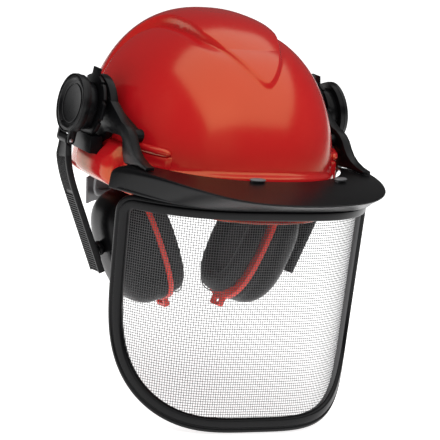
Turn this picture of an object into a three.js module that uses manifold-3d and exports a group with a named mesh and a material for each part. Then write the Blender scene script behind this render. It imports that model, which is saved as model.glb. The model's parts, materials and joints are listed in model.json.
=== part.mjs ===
// Forestry safety helmet: a hard shell with a textile cradle, a mesh visor that tilts up on two side
// hubs, ear muffs on swinging arms and a nape ratchet. Millimetres, +Z up, -Y forwards, +X to the
// wearer's left. Everything is laid out from the centre of the side rim; the finished group is then
// lowered so that its origin is where the crown of the head touches the crown pad.
import * as THREE from "three";
import { mergeVertices } from "three/addons/utils/BufferGeometryUtils.js";
import Module from "manifold-3d";

const wasm = await Module();
wasm.setup();

// ---- Driving dimensions ----
const GAP = 0.3; // clearance between pieces that sit against each other
const RUNNING_GAP = 0.4; // clearance round a shaft that turns
const WALL = 3; // shell thickness

// Shell surfaces: half-axes across, fore-and-aft and up, centre and roundness (2 is an ellipse)
const LOBES = { across: 104, along: 136, up: 149.5, y: 0, round: 2.5 };
const CREST = { across: 102, along: 134.5, up: 157.5, y: 3, round: 2.33 };
const CREST_HALF_WIDTH = 38;
const CREST_TIP_Y = -108;
const CREST_SHOULDER_Y = -42;
const RIM_FRONT_DROP = 8.8;
const RIM_REAR_DROP = 8;
const RIM = { across: 106.3, along: 143.2, round: 2.4 };
const LEDGE_SIDE_Z = 25;
const LEDGE_FRONT_RISE = 8.5;

// Hub: the ear-muff side leans outwards by CANT; the visor turns about a straight cross axis
const HUB = new THREE.Vector3(117.6, 6, 65.2);
const CANT = THREE.MathUtils.degToRad(8);
const VISOR_AXIS_Z = 64;
const VISOR_RING_RADIUS = 31;
const AXLE_RADIUS = 8;
const FLANGE_RADIUS = 30;
const DRUM_RADIUS = 22;
const CAP_RADIUS = 27;
const ARM_PIN_DROP = 32.4; // from the hub axis down to the pin the ear arm flips out on
const ARM_PIN_OUT = 15.8;
const ARM_PIN_RADIUS = 1.8;

// Visor and brow guard, in plan
const VISOR_PLAN = { across: 124.6, end: -86, front: -154, bulge: 3.45 };
const VISOR_TAPER = 0.026; // how much narrower each half gets for each millimetre down
const VISOR_BOTTOM_Z = -189.7;
const VISOR_CORNER_RISE = 147;
const VISOR_CORNER_ROUND = 4;
const BEAD_WIDTH = 13;
const BEAD_DEPTH = 8;
const MESH_THICKNESS = 0.4;
const MESH_INSET = 4; // from the bead's middle line to the mesh's edge
const GUARD_EDGE = { across: 128, end: -74, front: -208, bulge: 4.8 };
const GUARD_LIP = { across: 130.5, end: -76, front: -166, bulge: 4.5 };
const GUARD_FROM_RIM = 4; // gap between the shell's rim and the guard's inner edge
const GUARD_WALL = 2.4;

// Ear cup: the seam ring's centre, and how far the cup leans inwards and forwards
const CUP_CENTRE = new THREE.Vector3(53.5, -3.6, -56.8);
const CUP_LEAN = THREE.MathUtils.degToRad(23.7);
const CUP_PITCH = THREE.MathUtils.degToRad(4.3);
const CUP = { across: 38.5, tall: 56, round: 2.6 };
const CUP_DEPTH = 40;
const CUSHION_DEPTH = 17.5;
const PIVOT_OUT = 44;
const PIVOT_UP = 11;
const ARM_OUT = 51.5;
const ARM_TOP_WIDTH = 16; // between the hub cap's lugs
const ARM_WIDTH = 22;
const ARM_THICKNESS = 6;

// Headband, cradle and nape ratchet
const HEADBAND = { across: 80, along: 100, y: 0, round: 2.2 };
const HEADBAND_BOTTOM_Z = 5;
const HEADBAND_HEIGHT = 26;
const CROWN_PAD_Z = 118.5;
const STRAP_TOP_Z = 126;
const STRAP_WIDTH = 20;
const STRAP_THICKNESS = 1.2;
const ANCHOR = new THREE.Vector2(62, 80); // where a strap end meets its anchor clip
const ANCHOR_INWARDS = 4.4; // how far the clip runs from there to the headband, and to the shell
const ANCHOR_OUTWARDS = 20;
const YOKE = { halfWidth: 33, front: 103, back: 118, z: -30, halfHeight: 14 };
const PINION_RADIUS = 4;

// ---- Materials ----
const paint = (color, roughness, metalness = 0) => ({ color, roughness, metalness });
const RED = paint(0xc9261c, 0.22);
const BLACK = paint(0x1b1b1d, 0.45);
const GREY = paint(0x55565a, 0.5);
const CUSHION = paint(0x262628, 0.75);
const FOAM = paint(0x3a3a3c, 0.95);
const TEXTILE = paint(0x2b2c30, 0.9);
const STEEL_MESH = paint(0x8f9092, 0.45, 0.6);

// ---- Solids ----
function solid(geometry) {
  const bare = geometry.clone();
  bare.deleteAttribute("normal");
  bare.deleteAttribute("uv");
  const merged = mergeVertices(bare, 1e-3);
  const triangles = [];
  for (let i = 0; i < merged.index.count; i += 3) {
    const [a, b, c] = merged.index.array.slice(i, i + 3);
    if (a !== b && b !== c && c !== a) triangles.push(a, b, c);
  }
  const build = (corners) =>
    new wasm.Manifold(
      new wasm.Mesh({
        numProp: 3,
        vertProperties: new Float32Array(merged.attributes.position.array),
        triVerts: new Uint32Array(corners),
      }),
    );
  const body = build(triangles);
  return body.volume() > 0 ? body : build(triangles.reverse());
}

function geometryOf(body) {
  const { numProp, vertProperties, triVerts } = body.getMesh();
  const corners = new Float32Array((vertProperties.length / numProp) * 3);
  for (let i = 0; i < corners.length / 3; i++) {
    corners.set(vertProperties.subarray(i * numProp, i * numProp + 3), i * 3);
  }
  const geometry = new THREE.BufferGeometry();
  geometry.setAttribute("position", new THREE.BufferAttribute(corners, 3));
  geometry.setIndex(new THREE.BufferAttribute(triVerts, 1));
  const faceted = geometry.toNonIndexed();
  faceted.computeVertexNormals();
  return faceted;
}

const joined = (...bodies) => bodies.reduce((whole, body) => whole.add(body));
const cut = (body, ...tools) => tools.reduce((rest, tool) => rest.subtract(tool), body);

function addPart(group, name, body, material) {
  const mesh = new THREE.Mesh(geometryOf(body), new THREE.MeshStandardMaterial(material));
  mesh.name = name;
  group.add(mesh);
}

// A closed body through rings of points, each with the same count; loop joins the last to the first.
function loft(rings, loop = false) {
  const size = rings[0].length;
  const faces = [];
  const spans = loop ? rings.length : rings.length - 1;
  for (let i = 0; i < spans; i++) {
    const here = i * size;
    const there = ((i + 1) % rings.length) * size;
    for (let j = 0; j < size; j++) {
      const k = (j + 1) % size;
      faces.push(here + j, there + j, there + k, here + j, there + k, here + k);
    }
  }
  if (!loop) {
    const last = (rings.length - 1) * size;
    capFaces(rings[0]).forEach(([a, b, c]) => faces.push(a, b, c));
    capFaces(rings[rings.length - 1]).forEach(([a, b, c]) => faces.push(last + a, last + c, last + b));
  }
  const geometry = new THREE.BufferGeometry();
  const corners = rings.flat().flatMap((p) => [p.x, p.y, p.z]);
  geometry.setAttribute("position", new THREE.Float32BufferAttribute(corners, 3));
  geometry.setIndex(faces);
  return solid(geometry);
}

// Triangles that close one ring, wound with the ring.
function capFaces(ring) {
  const normal = new THREE.Vector3();
  ring.forEach((p, i) => {
    normal.add(new THREE.Vector3().crossVectors(p, ring[(i + 1) % ring.length]));
  });
  normal.normalize();
  const right = new THREE.Vector3().subVectors(ring[1], ring[0]).normalize();
  const up = new THREE.Vector3().crossVectors(normal, right);
  const flat = ring.map((p) => new THREE.Vector2(p.dot(right), p.dot(up)));
  return THREE.ShapeUtils.triangulateShape(flat, []).map(([a, b, c]) => {
    const first = flat[b].clone().sub(flat[a]);
    const second = flat[c].clone().sub(flat[a]);
    return first.cross(second) > 0 ? [a, b, c] : [a, c, b];
  });
}

// A section of [across, along] offsets carried along frames {at, u, v}.
function sweep(frames, section, loop = false) {
  const rings = frames.map(({ at, u, v }) =>
    section.map(([a, b]) => at.clone().addScaledVector(u, a).addScaledVector(v, b)),
  );
  return loft(rings, loop);
}

// Frames along points, with u kept as square to the path as it can be while leaning towards `lean`.
function framesAlong(points, lean, loop = false) {
  const count = points.length;
  return points.map((at, i) => {
    const before = points[loop ? (i + count - 1) % count : Math.max(i - 1, 0)];
    const after = points[loop ? (i + 1) % count : Math.min(i + 1, count - 1)];
    const along = new THREE.Vector3().subVectors(after, before).normalize();
    const u = lean.clone().addScaledVector(along, -lean.dot(along)).normalize();
    return { at, u, v: new THREE.Vector3().crossVectors(along, u) };
  });
}

const rectangle = (width, height) => [
  [-width / 2, -height / 2],
  [width / 2, -height / 2],
  [width / 2, height / 2],
  [-width / 2, height / 2],
];

const roundSection = (width, height, count = 8) =>
  Array.from({ length: count }, (_, i) => {
    const turn = (2 * Math.PI * (i + 0.5)) / count;
    return [(width / 2) * Math.cos(turn), (height / 2) * Math.sin(turn)];
  });

function box([x0, x1], [y0, y1], [z0, z1]) {
  const geometry = new THREE.BoxGeometry(x1 - x0, y1 - y0, z1 - z0);
  return solid(geometry.translate((x0 + x1) / 2, (y0 + y1) / 2, (z0 + z1) / 2));
}

// A round bar along X from x0 to x1, centred on (y, z).
function barX(radius, [x0, x1], y = 0, z = 0, sides = 24) {
  const geometry = new THREE.CylinderGeometry(radius, radius, x1 - x0, sides);
  return solid(geometry.rotateZ(Math.PI / 2).translate((x0 + x1) / 2, y, z));
}

function barY(radius, [y0, y1], x = 0, z = 0, sides = 16) {
  const geometry = new THREE.CylinderGeometry(radius, radius, y1 - y0, sides);
  return solid(geometry.translate(x, (y0 + y1) / 2, z));
}

function ball(radius, x, y, z, sides = 14) {
  return solid(new THREE.SphereGeometry(radius, sides, sides / 2).translate(x, y, z));
}

// A plan outline raised from z0 to z1.
function raised(shape, [z0, z1], curveSegments = 6) {
  const options = { depth: z1 - z0, bevelEnabled: false, curveSegments };
  return solid(new THREE.ExtrudeGeometry(shape, options).translate(0, 0, z0));
}

// A side-view outline, drawn as (y, z), spread across the whole width from x0 to x1.
function spread(shape, [x0, x1], curveSegments = 6) {
  const options = { depth: x1 - x0, bevelEnabled: false, curveSegments };
  const geometry = new THREE.ExtrudeGeometry(shape, options);
  const toSide = new THREE.Matrix4().makeBasis(
    new THREE.Vector3(0, 1, 0),
    new THREE.Vector3(0, 0, 1),
    new THREE.Vector3(1, 0, 0),
  );
  return solid(geometry.applyMatrix4(toSide).translate(x0, 0, 0));
}

function outline(points) {
  return new THREE.Shape(points.map(([a, b]) => new THREE.Vector2(a, b)));
}

// ---- Plan curves ----
const power = (value, exponent) => Math.sign(value) * Math.abs(value) ** exponent;

// A point of a rounded plan oval; turn is 0 at the front and grows to the wearer's left.
function planPoint({ across, along, y = 0, round }, turn, z, grow = 0) {
  return new THREE.Vector3(
    (across + grow) * power(Math.sin(turn), 2 / round),
    y - (along + grow) * power(Math.cos(turn), 2 / round),
    z,
  );
}

// A point of a bowed plan line; share runs from -1 at one end through 0 at the front to 1 at the other.
function bowPoint({ across, end, front, bulge }, share, z) {
  return new THREE.Vector3(across * share, front + (end - front) * Math.abs(share) ** bulge, z);
}

const turns = (from, to, count) =>
  Array.from({ length: count + 1 }, (_, i) => from + ((to - from) * i) / count);
const fullTurn = (count) => turns(0, 2 * Math.PI, count).slice(0, count);

// ---- Shell ----
function rimZ(y) {
  const share = (y / RIM.along) ** 2;
  return y < 0 ? -RIM_FRONT_DROP * share : -RIM_REAR_DROP * share;
}

const SHELL_SIDES = 40;
const SKIRT_Z = -20; // the shell's bodies run below the rim and are trimmed to it

function dome(surface, grow = 0, bottom = SKIRT_Z, steps = 8) {
  const { round, up } = surface;
  const levels = turns(0, 0.975 * (Math.PI / 2), steps).map((rise) => ({
    scale: Math.cos(rise) ** (2 / round),
    z: (up + grow) * Math.sin(rise) ** (2 / round),
  }));
  levels.unshift({ scale: 1, z: bottom });
  const oval = { ...surface, across: surface.across + grow, along: surface.along + grow };
  return loft(
    levels.map(({ scale, z }) =>
      fullTurn(SHELL_SIDES).map((turn) =>
        planPoint({ ...oval, across: oval.across * scale, along: oval.along * scale }, turn, z),
      ),
    ),
  );
}

// The raised crest in plan: a narrow tongue over the crown that opens out behind the side lobes.
function crestPlan(inset) {
  const half = CREST_HALF_WIDTH - inset;
  const tip = CREST_TIP_Y + 1.5 * inset;
  const shoulder = CREST_SHOULDER_Y + inset;
  const shape = new THREE.Shape();
  shape.moveTo(0, tip);
  shape.bezierCurveTo(0.4 * half, tip + 4, 0.8 * half, shoulder - 32, half, shoulder);
  shape.lineTo(half + 1, 5);
  shape.bezierCurveTo(half + 2, 28 + inset, half + 10, 46 + inset, half + 38, 56 + inset);
  shape.lineTo(130, 62 + inset);
  shape.lineTo(130, 170);
  shape.lineTo(-130, 170);
  shape.lineTo(-130, 62 + inset);
  shape.lineTo(-half - 38, 56 + inset);
  shape.bezierCurveTo(-half - 10, 46 + inset, -half - 2, 28 + inset, -half - 1, 5);
  shape.lineTo(-half, shoulder);
  shape.bezierCurveTo(-0.8 * half, shoulder - 32, -0.4 * half, tip + 4, 0, tip);
  return shape;
}

function crest(inset) {
  return dome(CREST, -inset).intersect(raised(crestPlan(inset), [SKIRT_Z, 200], 5));
}

// The stepped-out band above the rim; it climbs to a ledge over the brow.
function rimBand() {
  const ledge = (turn) => LEDGE_SIDE_Z + LEDGE_FRONT_RISE * Math.max(0, Math.cos(turn)) ** 2;
  const levels = [
    { grow: 0, z: () => SKIRT_Z },
    { grow: 0, z: () => 0 },
    { grow: -2, z: (turn) => ledge(turn) - 1 },
    { grow: -6, z: (turn) => ledge(turn) + 1 },
  ];
  const ring = ({ grow, z }) => fullTurn(SHELL_SIDES).map((turn) => planPoint(RIM, turn, z(turn), grow));
  return loft(levels.map(ring));
}

function rimBead() {
  const points = fullTurn(SHELL_SIDES).map((turn) => {
    const point = planPoint(RIM, turn, 0);
    point.z = rimZ(point.y) + 1.6;
    return point;
  });
  return sweep(framesAlong(points, new THREE.Vector3(0, 0, 1), true), roundSection(3.2, 3.2, 5), true);
}

function belowRim() {
  const ys = turns(-170, 170, 20);
  const edge = ys.map((y) => [y, rimZ(THREE.MathUtils.clamp(y, -RIM.along, RIM.along))]);
  return spread(outline([[-170, -60], ...edge, [170, -60]].reverse()), [-150, 150]);
}

const PANEL_TOP_Z = 40;
const RIB_TOP_Z = 46.5;
const PANEL_PROUD = 3.2; // how far the side panel stands off the dome
const RIB_PROUD = 6;

// Raised side panels from the brow to behind the hubs, each with a rounded rib along its top.
function sidePanels() {
  const panel = outline([
    [-97, SKIRT_Z],
    [-97, PANEL_TOP_Z - 4],
    [-92, PANEL_TOP_Z],
    [52, PANEL_TOP_Z],
    [52, SKIRT_Z],
  ]);
  const rib = outline([
    [-96, PANEL_TOP_Z],
    [-93, RIB_TOP_Z],
    [-64, RIB_TOP_Z],
    [-61, PANEL_TOP_Z],
  ]);
  const onDome = (shape, proud) => dome(LOBES, proud).intersect(spread(shape, [-130, 130]));
  return onDome(panel, PANEL_PROUD).add(onDome(rib, RIB_PROUD));
}

const BOSS_POCKET = { x: [103.2, 130], y: [-19.5, 29], z: [26, 60] };
const PLUG = { x: [104, 109.6], y: [-15, 17], z: [10, 30] };

const grownBy = (gap, [low, high]) => [low - gap, high + gap];

// The box on each side of the shell that accessories plug into.
function boss() {
  const plan = new THREE.Shape();
  plan.moveTo(80, -50);
  plan.lineTo(108, -46);
  plan.quadraticCurveTo(118, -44, 119, -34);
  plan.lineTo(120.5, -2);
  plan.lineTo(117, 28);
  plan.lineTo(104, 34);
  plan.lineTo(80, 34);
  const sloped = outline([
    [80, 3],
    [118, 5],
    [121, 9],
    [121, 25],
    [107, 40],
    [98, 42],
    [80, 42],
  ]);
  const profile = new THREE.ExtrudeGeometry(sloped, { depth: 120, bevelEnabled: false });
  return raised(plan, [3, 50]).intersect(solid(profile.rotateX(Math.PI / 2).translate(0, 60, 0)));
}

// What the slot adapter and the visor ring need cut out of each boss.
function bossOpening() {
  const slot = box(grownBy(GAP, PLUG.x), grownBy(GAP, PLUG.y), [PLUG.z[0] - GAP, 60]);
  return box(BOSS_POCKET.x, BOSS_POCKET.y, BOSS_POCKET.z).add(slot);
}

function mirrored(body) {
  return solid(geometryOf(body).scale(-1, 1, 1));
}

function shell() {
  const outer = joined(dome(LOBES), crest(0), rimBand(), rimBead(), sidePanels());
  const inner = joined(dome(LOBES, -WALL, -40), crest(WALL));
  const leftBoss = cut(boss(), dome(LOBES, -WALL, -40));
  const whole = joined(cut(outer, inner), leftBoss, mirrored(leftBoss));
  return cut(whole, bossOpening(), mirrored(bossOpening()), belowRim());
}

// ---- Headband and cradle ----
function bandAround(oval, [from, to], bottom, height, thickness, steps) {
  const points = turns(from, to, steps).map((turn) => planPoint(oval, turn, bottom + height / 2));
  return sweep(framesAlong(points, new THREE.Vector3(0, 0, 1)), rectangle(height, thickness));
}

function headband() {
  const end = THREE.MathUtils.degToRad(115);
  return bandAround(HEADBAND, [-end, end], HEADBAND_BOTTOM_Z, HEADBAND_HEIGHT, 2, 24);
}

function sweatband() {
  const end = THREE.MathUtils.degToRad(62);
  const inner = { ...HEADBAND, across: HEADBAND.across - 3.2, along: HEADBAND.along - 3.2 };
  return bandAround(inner, [-end, end], HEADBAND_BOTTOM_Z + 2, HEADBAND_HEIGHT - 4, 3.6, 14);
}

// A textile strap over the crown, from one anchor to the opposite one.
function cradleStrap(lean, top) {
  const reach = ANCHOR.length() - 0.6;
  const foot = HEADBAND_BOTTOM_Z + HEADBAND_HEIGHT - 3.2;
  const points = turns(-Math.PI / 2, Math.PI / 2, 18).map((turn) => {
    const share = power(Math.sin(turn), 2 / 2.4);
    const rise = Math.max(0, Math.cos(turn)) ** (2 / 2.4);
    return new THREE.Vector3(
      (lean * share * reach * ANCHOR.x) / ANCHOR.length(),
      (share * reach * ANCHOR.y) / ANCHOR.length(),
      foot + (top - foot) * rise,
    );
  });
  const across = new THREE.Vector3(ANCHOR.y, -lean * ANCHOR.x, 0).normalize();
  return sweep(framesAlong(points, across), rectangle(STRAP_WIDTH, STRAP_THICKNESS));
}

// A bridge from the headband to the shell that carries a strap end. Built along +X, then turned.
function anchorClip(signX, signY) {
  const bar = box([-ANCHOR_INWARDS, ANCHOR_OUTWARDS], [-10, 10], [22, 26]);
  const key = box([ANCHOR_OUTWARDS - 3.4, ANCHOR_OUTWARDS], [-7, 7], [12, 34]);
  const turn = Math.atan2(signY * ANCHOR.y, signX * ANCHOR.x);
  const place = new THREE.Matrix4()
    .makeRotationZ(turn)
    .setPosition(signX * ANCHOR.x, signY * ANCHOR.y, 0);
  return solid(geometryOf(joined(bar, key)).applyMatrix4(place));
}

function crownPad() {
  const geometry = new THREE.CylinderGeometry(27, 28, 4, 32);
  return solid(geometry.rotateX(Math.PI / 2).translate(0, 0, CROWN_PAD_Z + 2));
}

// ---- Hubs ----
const hubMatrix = new THREE.Matrix4().makeRotationY(-CANT).setPosition(HUB);
const onHub = (body) => solid(geometryOf(body).applyMatrix4(hubMatrix));

// The detent flange with its toothed rim and top tab, in hub coordinates.
function flange() {
  const tab = box([-0.3, 1.5], [-7, 7], [25, 36]);
  const plate = joined(barX(FLANGE_RADIUS, [-1.5, 1.5], 0, 0, 32), tab);
  const notches = turns(35, 325, 8).map((degrees) => {
    const turn = THREE.MathUtils.degToRad(degrees);
    const notch = new THREE.BoxGeometry(5, 3, 5);
    notch.translate(0, 0, FLANGE_RADIUS).rotateX(turn);
    return solid(notch);
  });
  return cut(plate, ...notches);
}

function slotAdapter() {
  const plug = box(PLUG.x, PLUG.y, PLUG.z);
  const slab = box([104, 124], [-18, 20], [26.4, 32.4]);
  const upright = box([113, 124], [-18, 20], [30, 42]);
  return joined(plug, slab, upright, onHub(flange()));
}

// The fixed brace inboard of the visor arm: a disc, and a strut whose foot bears on the shell.
function brace() {
  const plan = new THREE.Shape();
  plan.moveTo(2, 76);
  plan.lineTo(-54, 57);
  plan.absarc(-57, 51, 6.5, THREE.MathUtils.degToRad(60), THREE.MathUtils.degToRad(250), false);
  plan.lineTo(2, 52);
  const strut = spread(plan, [88, 102.6], 5);
  const disc = barX(14, [88, 102.6], HUB.y, VISOR_AXIS_Z);
  const rib = box([80, 110], [-80, -59], [20, RIB_TOP_Z + GAP]);
  const panel = box([80, 110], [-70, 40], [20, PANEL_TOP_Z + 2 + GAP]);
  return cut(joined(strut, disc), dome(LOBES, 2 * GAP), rib, panel);
}

function hubAxle() {
  return barX(AXLE_RADIUS, [103, 114.6], HUB.y, VISOR_AXIS_Z);
}

// The turned drum the ear arm hangs from.
function earDrum() {
  const profile = [
    [0, 1.9],
    [20, 1.9],
    [DRUM_RADIUS, 3.2],
    [DRUM_RADIUS, 12],
    [0, 12],
  ];
  const points = profile.map(([r, along]) => new THREE.Vector2(r, along));
  return onHub(solid(new THREE.LatheGeometry(points, 28).rotateZ(-Math.PI / 2)));
}

// The dished outer cap with the two lugs that hold the arm pin.
function hubCap() {
  const profile = [
    [0, 12 + GAP],
    [CAP_RADIUS, 12 + GAP],
    [CAP_RADIUS, 17.5],
    [CAP_RADIUS - 1.8, 19.3],
    [CAP_RADIUS - 4.5, 19.3],
    [CAP_RADIUS - 6, 17.6],
    [0, 16.9],
  ];
  const points = profile.map(([r, along]) => new THREE.Vector2(r, along));
  const disc = solid(new THREE.LatheGeometry(points, 28).rotateZ(-Math.PI / 2));
  const lugs = [-1, 1].map((end) => {
    const faces = [9.2 * end, 12.4 * end].sort((a, b) => a - b);
    const plate = box([12 + GAP, 19.3], faces, [-ARM_PIN_DROP, -18]);
    return plate.add(barY(3.5, faces, ARM_PIN_OUT, -ARM_PIN_DROP));
  });
  const bore = barY(ARM_PIN_RADIUS + GAP, [-14, 14], ARM_PIN_OUT, -ARM_PIN_DROP, 16);
  return onHub(cut(joined(disc, ...lugs), bore));
}

function armPin() {
  return onHub(barY(ARM_PIN_RADIUS, [-12.2, 12.2], ARM_PIN_OUT, -ARM_PIN_DROP, 16));
}

// ---- Ear muffs: everything below the hub is laid out from the cup's seam ring ----
// Cup axes: x outwards from the head, y rearwards, z up along the arm.
const cupUp = new THREE.Vector3(
  Math.sin(CUP_LEAN) * Math.cos(CUP_PITCH),
  Math.sin(CUP_PITCH),
  Math.cos(CUP_LEAN) * Math.cos(CUP_PITCH),
);
const cupOut = new THREE.Vector3(1, 0, 0).addScaledVector(cupUp, -cupUp.x).normalize();
const cupBack = new THREE.Vector3().crossVectors(cupUp, cupOut);
const cupMatrix = new THREE.Matrix4().makeBasis(cupOut, cupBack, cupUp).setPosition(CUP_CENTRE);
const atCup = (x, y, z) => new THREE.Vector3(x, y, z).applyMatrix4(cupMatrix);
const onCup = (body) => solid(geometryOf(body).applyMatrix4(cupMatrix));

const cupOval = (x, scale, inset = 0, count = 22) =>
  fullTurn(count).map(
    (turn) =>
      new THREE.Vector3(
        x,
        (CUP.across * scale - inset) * power(Math.cos(turn), 2 / CUP.round),
        (CUP.tall * scale - inset) * power(Math.sin(turn), 2 / CUP.round),
      ),
  );

function cupBowl(start, depth, inset) {
  const levels = turns(0, 0.93 * (Math.PI / 2), 4).map((rise) =>
    cupOval(start + depth * Math.sin(rise) ** 0.8, Math.cos(rise) ** 0.62, inset * Math.cos(rise)),
  );
  return loft(levels);
}

const RING_HALF = 2.4; // half the seam ring's thickness
const CUP_WALL = 2.5;

function cupShell() {
  const start = RING_HALF + GAP;
  const bowl = cupBowl(start, CUP_DEPTH - start, 0);
  const hollow = cupBowl(start - 1, CUP_DEPTH - start - CUP_WALL + 1, CUP_WALL);
  const socket = barX(10, [33, 43], 0, PIVOT_UP, 20);
  const seat = ball(7.3, PIVOT_OUT, 0, PIVOT_UP);
  return onCup(cut(joined(cut(bowl, hollow), socket), seat));
}

// The seam ring between cup and cushion, with a slotted pull tab at the bottom.
function cupRing() {
  const rim = loft([cupOval(-RING_HALF, 1.03), cupOval(RING_HALF, 1.03)]);
  const hole = loft([cupOval(-5, 0.62), cupOval(5, 0.62)]);
  const tab = box([-RING_HALF, RING_HALF], [-9, 9], [-CUP.tall - 10, -CUP.tall + 4]);
  const slot = box([-5, 5], [-5.5, 5.5], [-CUP.tall - 7, -CUP.tall - 3.2]);
  return onCup(cut(joined(rim, tab), hole, slot));
}

function cushion() {
  const section = roundSection(CUSHION_DEPTH, 18, 7);
  const middle = -RING_HALF - GAP - CUSHION_DEPTH / 2;
  const rings = cupOval(middle, 1, 9.2, 20).map((at) => {
    const outwards = new THREE.Vector3(0, at.y, at.z).normalize();
    return section.map(([x, out]) => {
      const point = at.clone().addScaledVector(outwards, out);
      point.x += x;
      return point;
    });
  });
  return onCup(loft(rings, true));
}

function cupFoam() {
  return onCup(loft([cupOval(4, 0.58, 0, 20), cupOval(16, 0.58, 0, 20)]));
}

// Ball-and-socket knob between the slider and the cup.
function cupPivot() {
  const body = ball(7, PIVOT_OUT, 0, PIVOT_UP);
  const hollow = ball(3.9, PIVOT_OUT, 0, PIVOT_UP, 12);
  const mouth = barX(3.4, [PIVOT_OUT, 60], 0, PIVOT_UP, 14);
  const face = box([PIVOT_OUT + 1.3, 60], [-20, 20], [-20, 40]);
  return onCup(cut(body, face, hollow, mouth));
}

const CHANNEL = { x: [ARM_OUT - 1.5, ARM_OUT + 1.5], y: [-5.5, 5.5], z: [-4, 34] };

// The T-shaped slider that rides in the arm's channel and ends in the cup's ball.
function slider() {
  const head = box(grownBy(-GAP, CHANNEL.x), grownBy(-GAP, CHANNEL.y), [PIVOT_UP - 8, PIVOT_UP + 8]);
  const neck = box([46.8, ARM_OUT], [-2.6, 2.6], [PIVOT_UP - 7, PIVOT_UP + 7]);
  const plate = box([46.8, ARM_OUT - ARM_THICKNESS / 2 - GAP], [-6, 6], [PIVOT_UP - 8, PIVOT_UP + 8]);
  const stem = barX(2.2, [PIVOT_OUT, 47], 0, PIVOT_UP, 10);
  return onCup(joined(head, neck, plate, stem, ball(3.6, PIVOT_OUT, 0, PIVOT_UP, 12)));
}

function armPoints() {
  const pin = new THREE.Vector3(ARM_PIN_OUT, 0, -ARM_PIN_DROP).applyMatrix4(hubMatrix);
  const top = pin.clone().add(new THREE.Vector3(0.1, -0.2, -2.5));
  const upper = pin.clone().add(new THREE.Vector3(0.9, -1.6, -14));
  const lower = atCup(ARM_OUT, 0, 72);
  const tip = atCup(ARM_OUT, 0, -8);
  const corner = atCup(ARM_OUT, 0, 94);
  const bend = new THREE.QuadraticBezierCurve3(upper, corner, lower).getPoints(7);
  return [top, ...bend, tip];
}

function earArm() {
  const frames = framesAlong(armPoints(), new THREE.Vector3(0, 1, 0));
  const rings = frames.map(({ at, u, v }, i) =>
    rectangle(i ? ARM_WIDTH : ARM_TOP_WIDTH, ARM_THICKNESS).map(([a, b]) =>
      at.clone().addScaledVector(u, a).addScaledVector(v, b),
    ),
  );
  const cavity = onCup(box(CHANNEL.x, CHANNEL.y, CHANNEL.z));
  const mouth = onCup(box([40, ARM_OUT], [-3.1, 3.1], CHANNEL.z));
  const knuckle = onHub(barY(4.4, [-8.6, 8.6], ARM_PIN_OUT, -ARM_PIN_DROP));
  const bore = onHub(barY(ARM_PIN_RADIUS + GAP, [-14, 14], ARM_PIN_OUT, -ARM_PIN_DROP, 16));
  return cut(joined(loft(rings), knuckle), cavity, mouth, bore);
}

// ---- Visor ----
// Side view of the arm as (y, z): a ring round the axle, a box-like bar and a foot flared on the guard.
function visorArm() {
  const side = new THREE.Shape();
  side.moveTo(-6, 82);
  side.lineTo(-24, 75);
  side.lineTo(-50, 62.5);
  side.quadraticCurveTo(-68, 60, -76, 48);
  side.quadraticCurveTo(-86, 36, -112, 34);
  side.lineTo(-112, 24);
  side.lineTo(-68, 24);
  side.quadraticCurveTo(-58, 36, -57.5, 43);
  side.quadraticCurveTo(-56.5, 51, -48, 50);
  side.lineTo(-16, 47);
  side.lineTo(0, 60);
  const depth = 8;
  const bar = new THREE.ExtrudeGeometry(side, { depth, bevelEnabled: false, curveSegments: 4 });
  const lean = new THREE.Matrix4().makeBasis(
    new THREE.Vector3(-0.03, 1, 0),
    new THREE.Vector3(0, 0, 1),
    new THREE.Vector3(1, 0, 0),
  );
  const arm = solid(bar.applyMatrix4(lean).translate(103.4 - 1, 0, 0));
  const ring = barX(VISOR_RING_RADIUS, [103.4, 110.6], HUB.y, VISOR_AXIS_Z, 32);
  const clearance = box([90, 103.4], [-60, 60], [20, 100]);
  const bore = barX(AXLE_RADIUS + RUNNING_GAP, [90, 120], HUB.y, VISOR_AXIS_Z);
  return cut(joined(cut(arm, clearance, underGuard()), ring), bore);
}

// ---- Brow guard ----
// A brim that widens to the front, and a face below it that runs back to the lip over the visor.
const GUARD_END_TURN = THREE.MathUtils.degToRad(64);
const guardTopZ = (front) => 30 + front;
const guardEdgeZ = (front) => 25 + 26 * front - 29.5 * front ** 2;
const GUARD_LOW_Z = 8.4;

function guardLoft(reach, section) {
  return loft(
    turns(-reach, reach, 28).map((share) => {
      const front = Math.sqrt(Math.max(0, 1 - share ** 2));
      const inner = (z, grow = 0) => planPoint(RIM, share * GUARD_END_TURN, z, GUARD_FROM_RIM + grow);
      return section(share, front, inner);
    }),
  );
}

function browGuard() {
  const shape = guardLoft(1, (share, front, inner) => {
    const root = inner(guardTopZ(front));
    const edge = bowPoint(GUARD_EDGE, share, guardEdgeZ(front));
    const lip = bowPoint(GUARD_LIP, share, GUARD_LOW_Z);
    const toRoot = root.clone().sub(edge).normalize();
    const toLip = lip.clone().sub(edge).normalize();
    const spreadAngle = toRoot.angleTo(toLip);
    const offRoot = toLip.clone().addScaledVector(toRoot, -Math.cos(spreadAngle)).setLength(GUARD_WALL);
    const offLip = toRoot.clone().addScaledVector(toLip, -Math.cos(spreadAngle)).setLength(GUARD_WALL);
    const inwards = toRoot.clone().add(toLip).setLength(GUARD_WALL / Math.sin(spreadAngle / 2));
    return [root, edge, lip, lip.clone().add(offLip), edge.clone().add(inwards), root.clone().add(offRoot)];
  });
  return cut(shape, ...Object.values(CLIP_PLACES).map(clipSlot));
}

// Everything under the guard's top face, for trimming what stands on it.
function underGuard() {
  return guardLoft(1.03, (share, front, inner) => [
    inner(guardTopZ(front) + 3 * GAP),
    bowPoint(GUARD_EDGE, share, guardEdgeZ(front) + 3 * GAP),
    bowPoint(GUARD_EDGE, share, 0),
    inner(0),
  ]);
}

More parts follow.
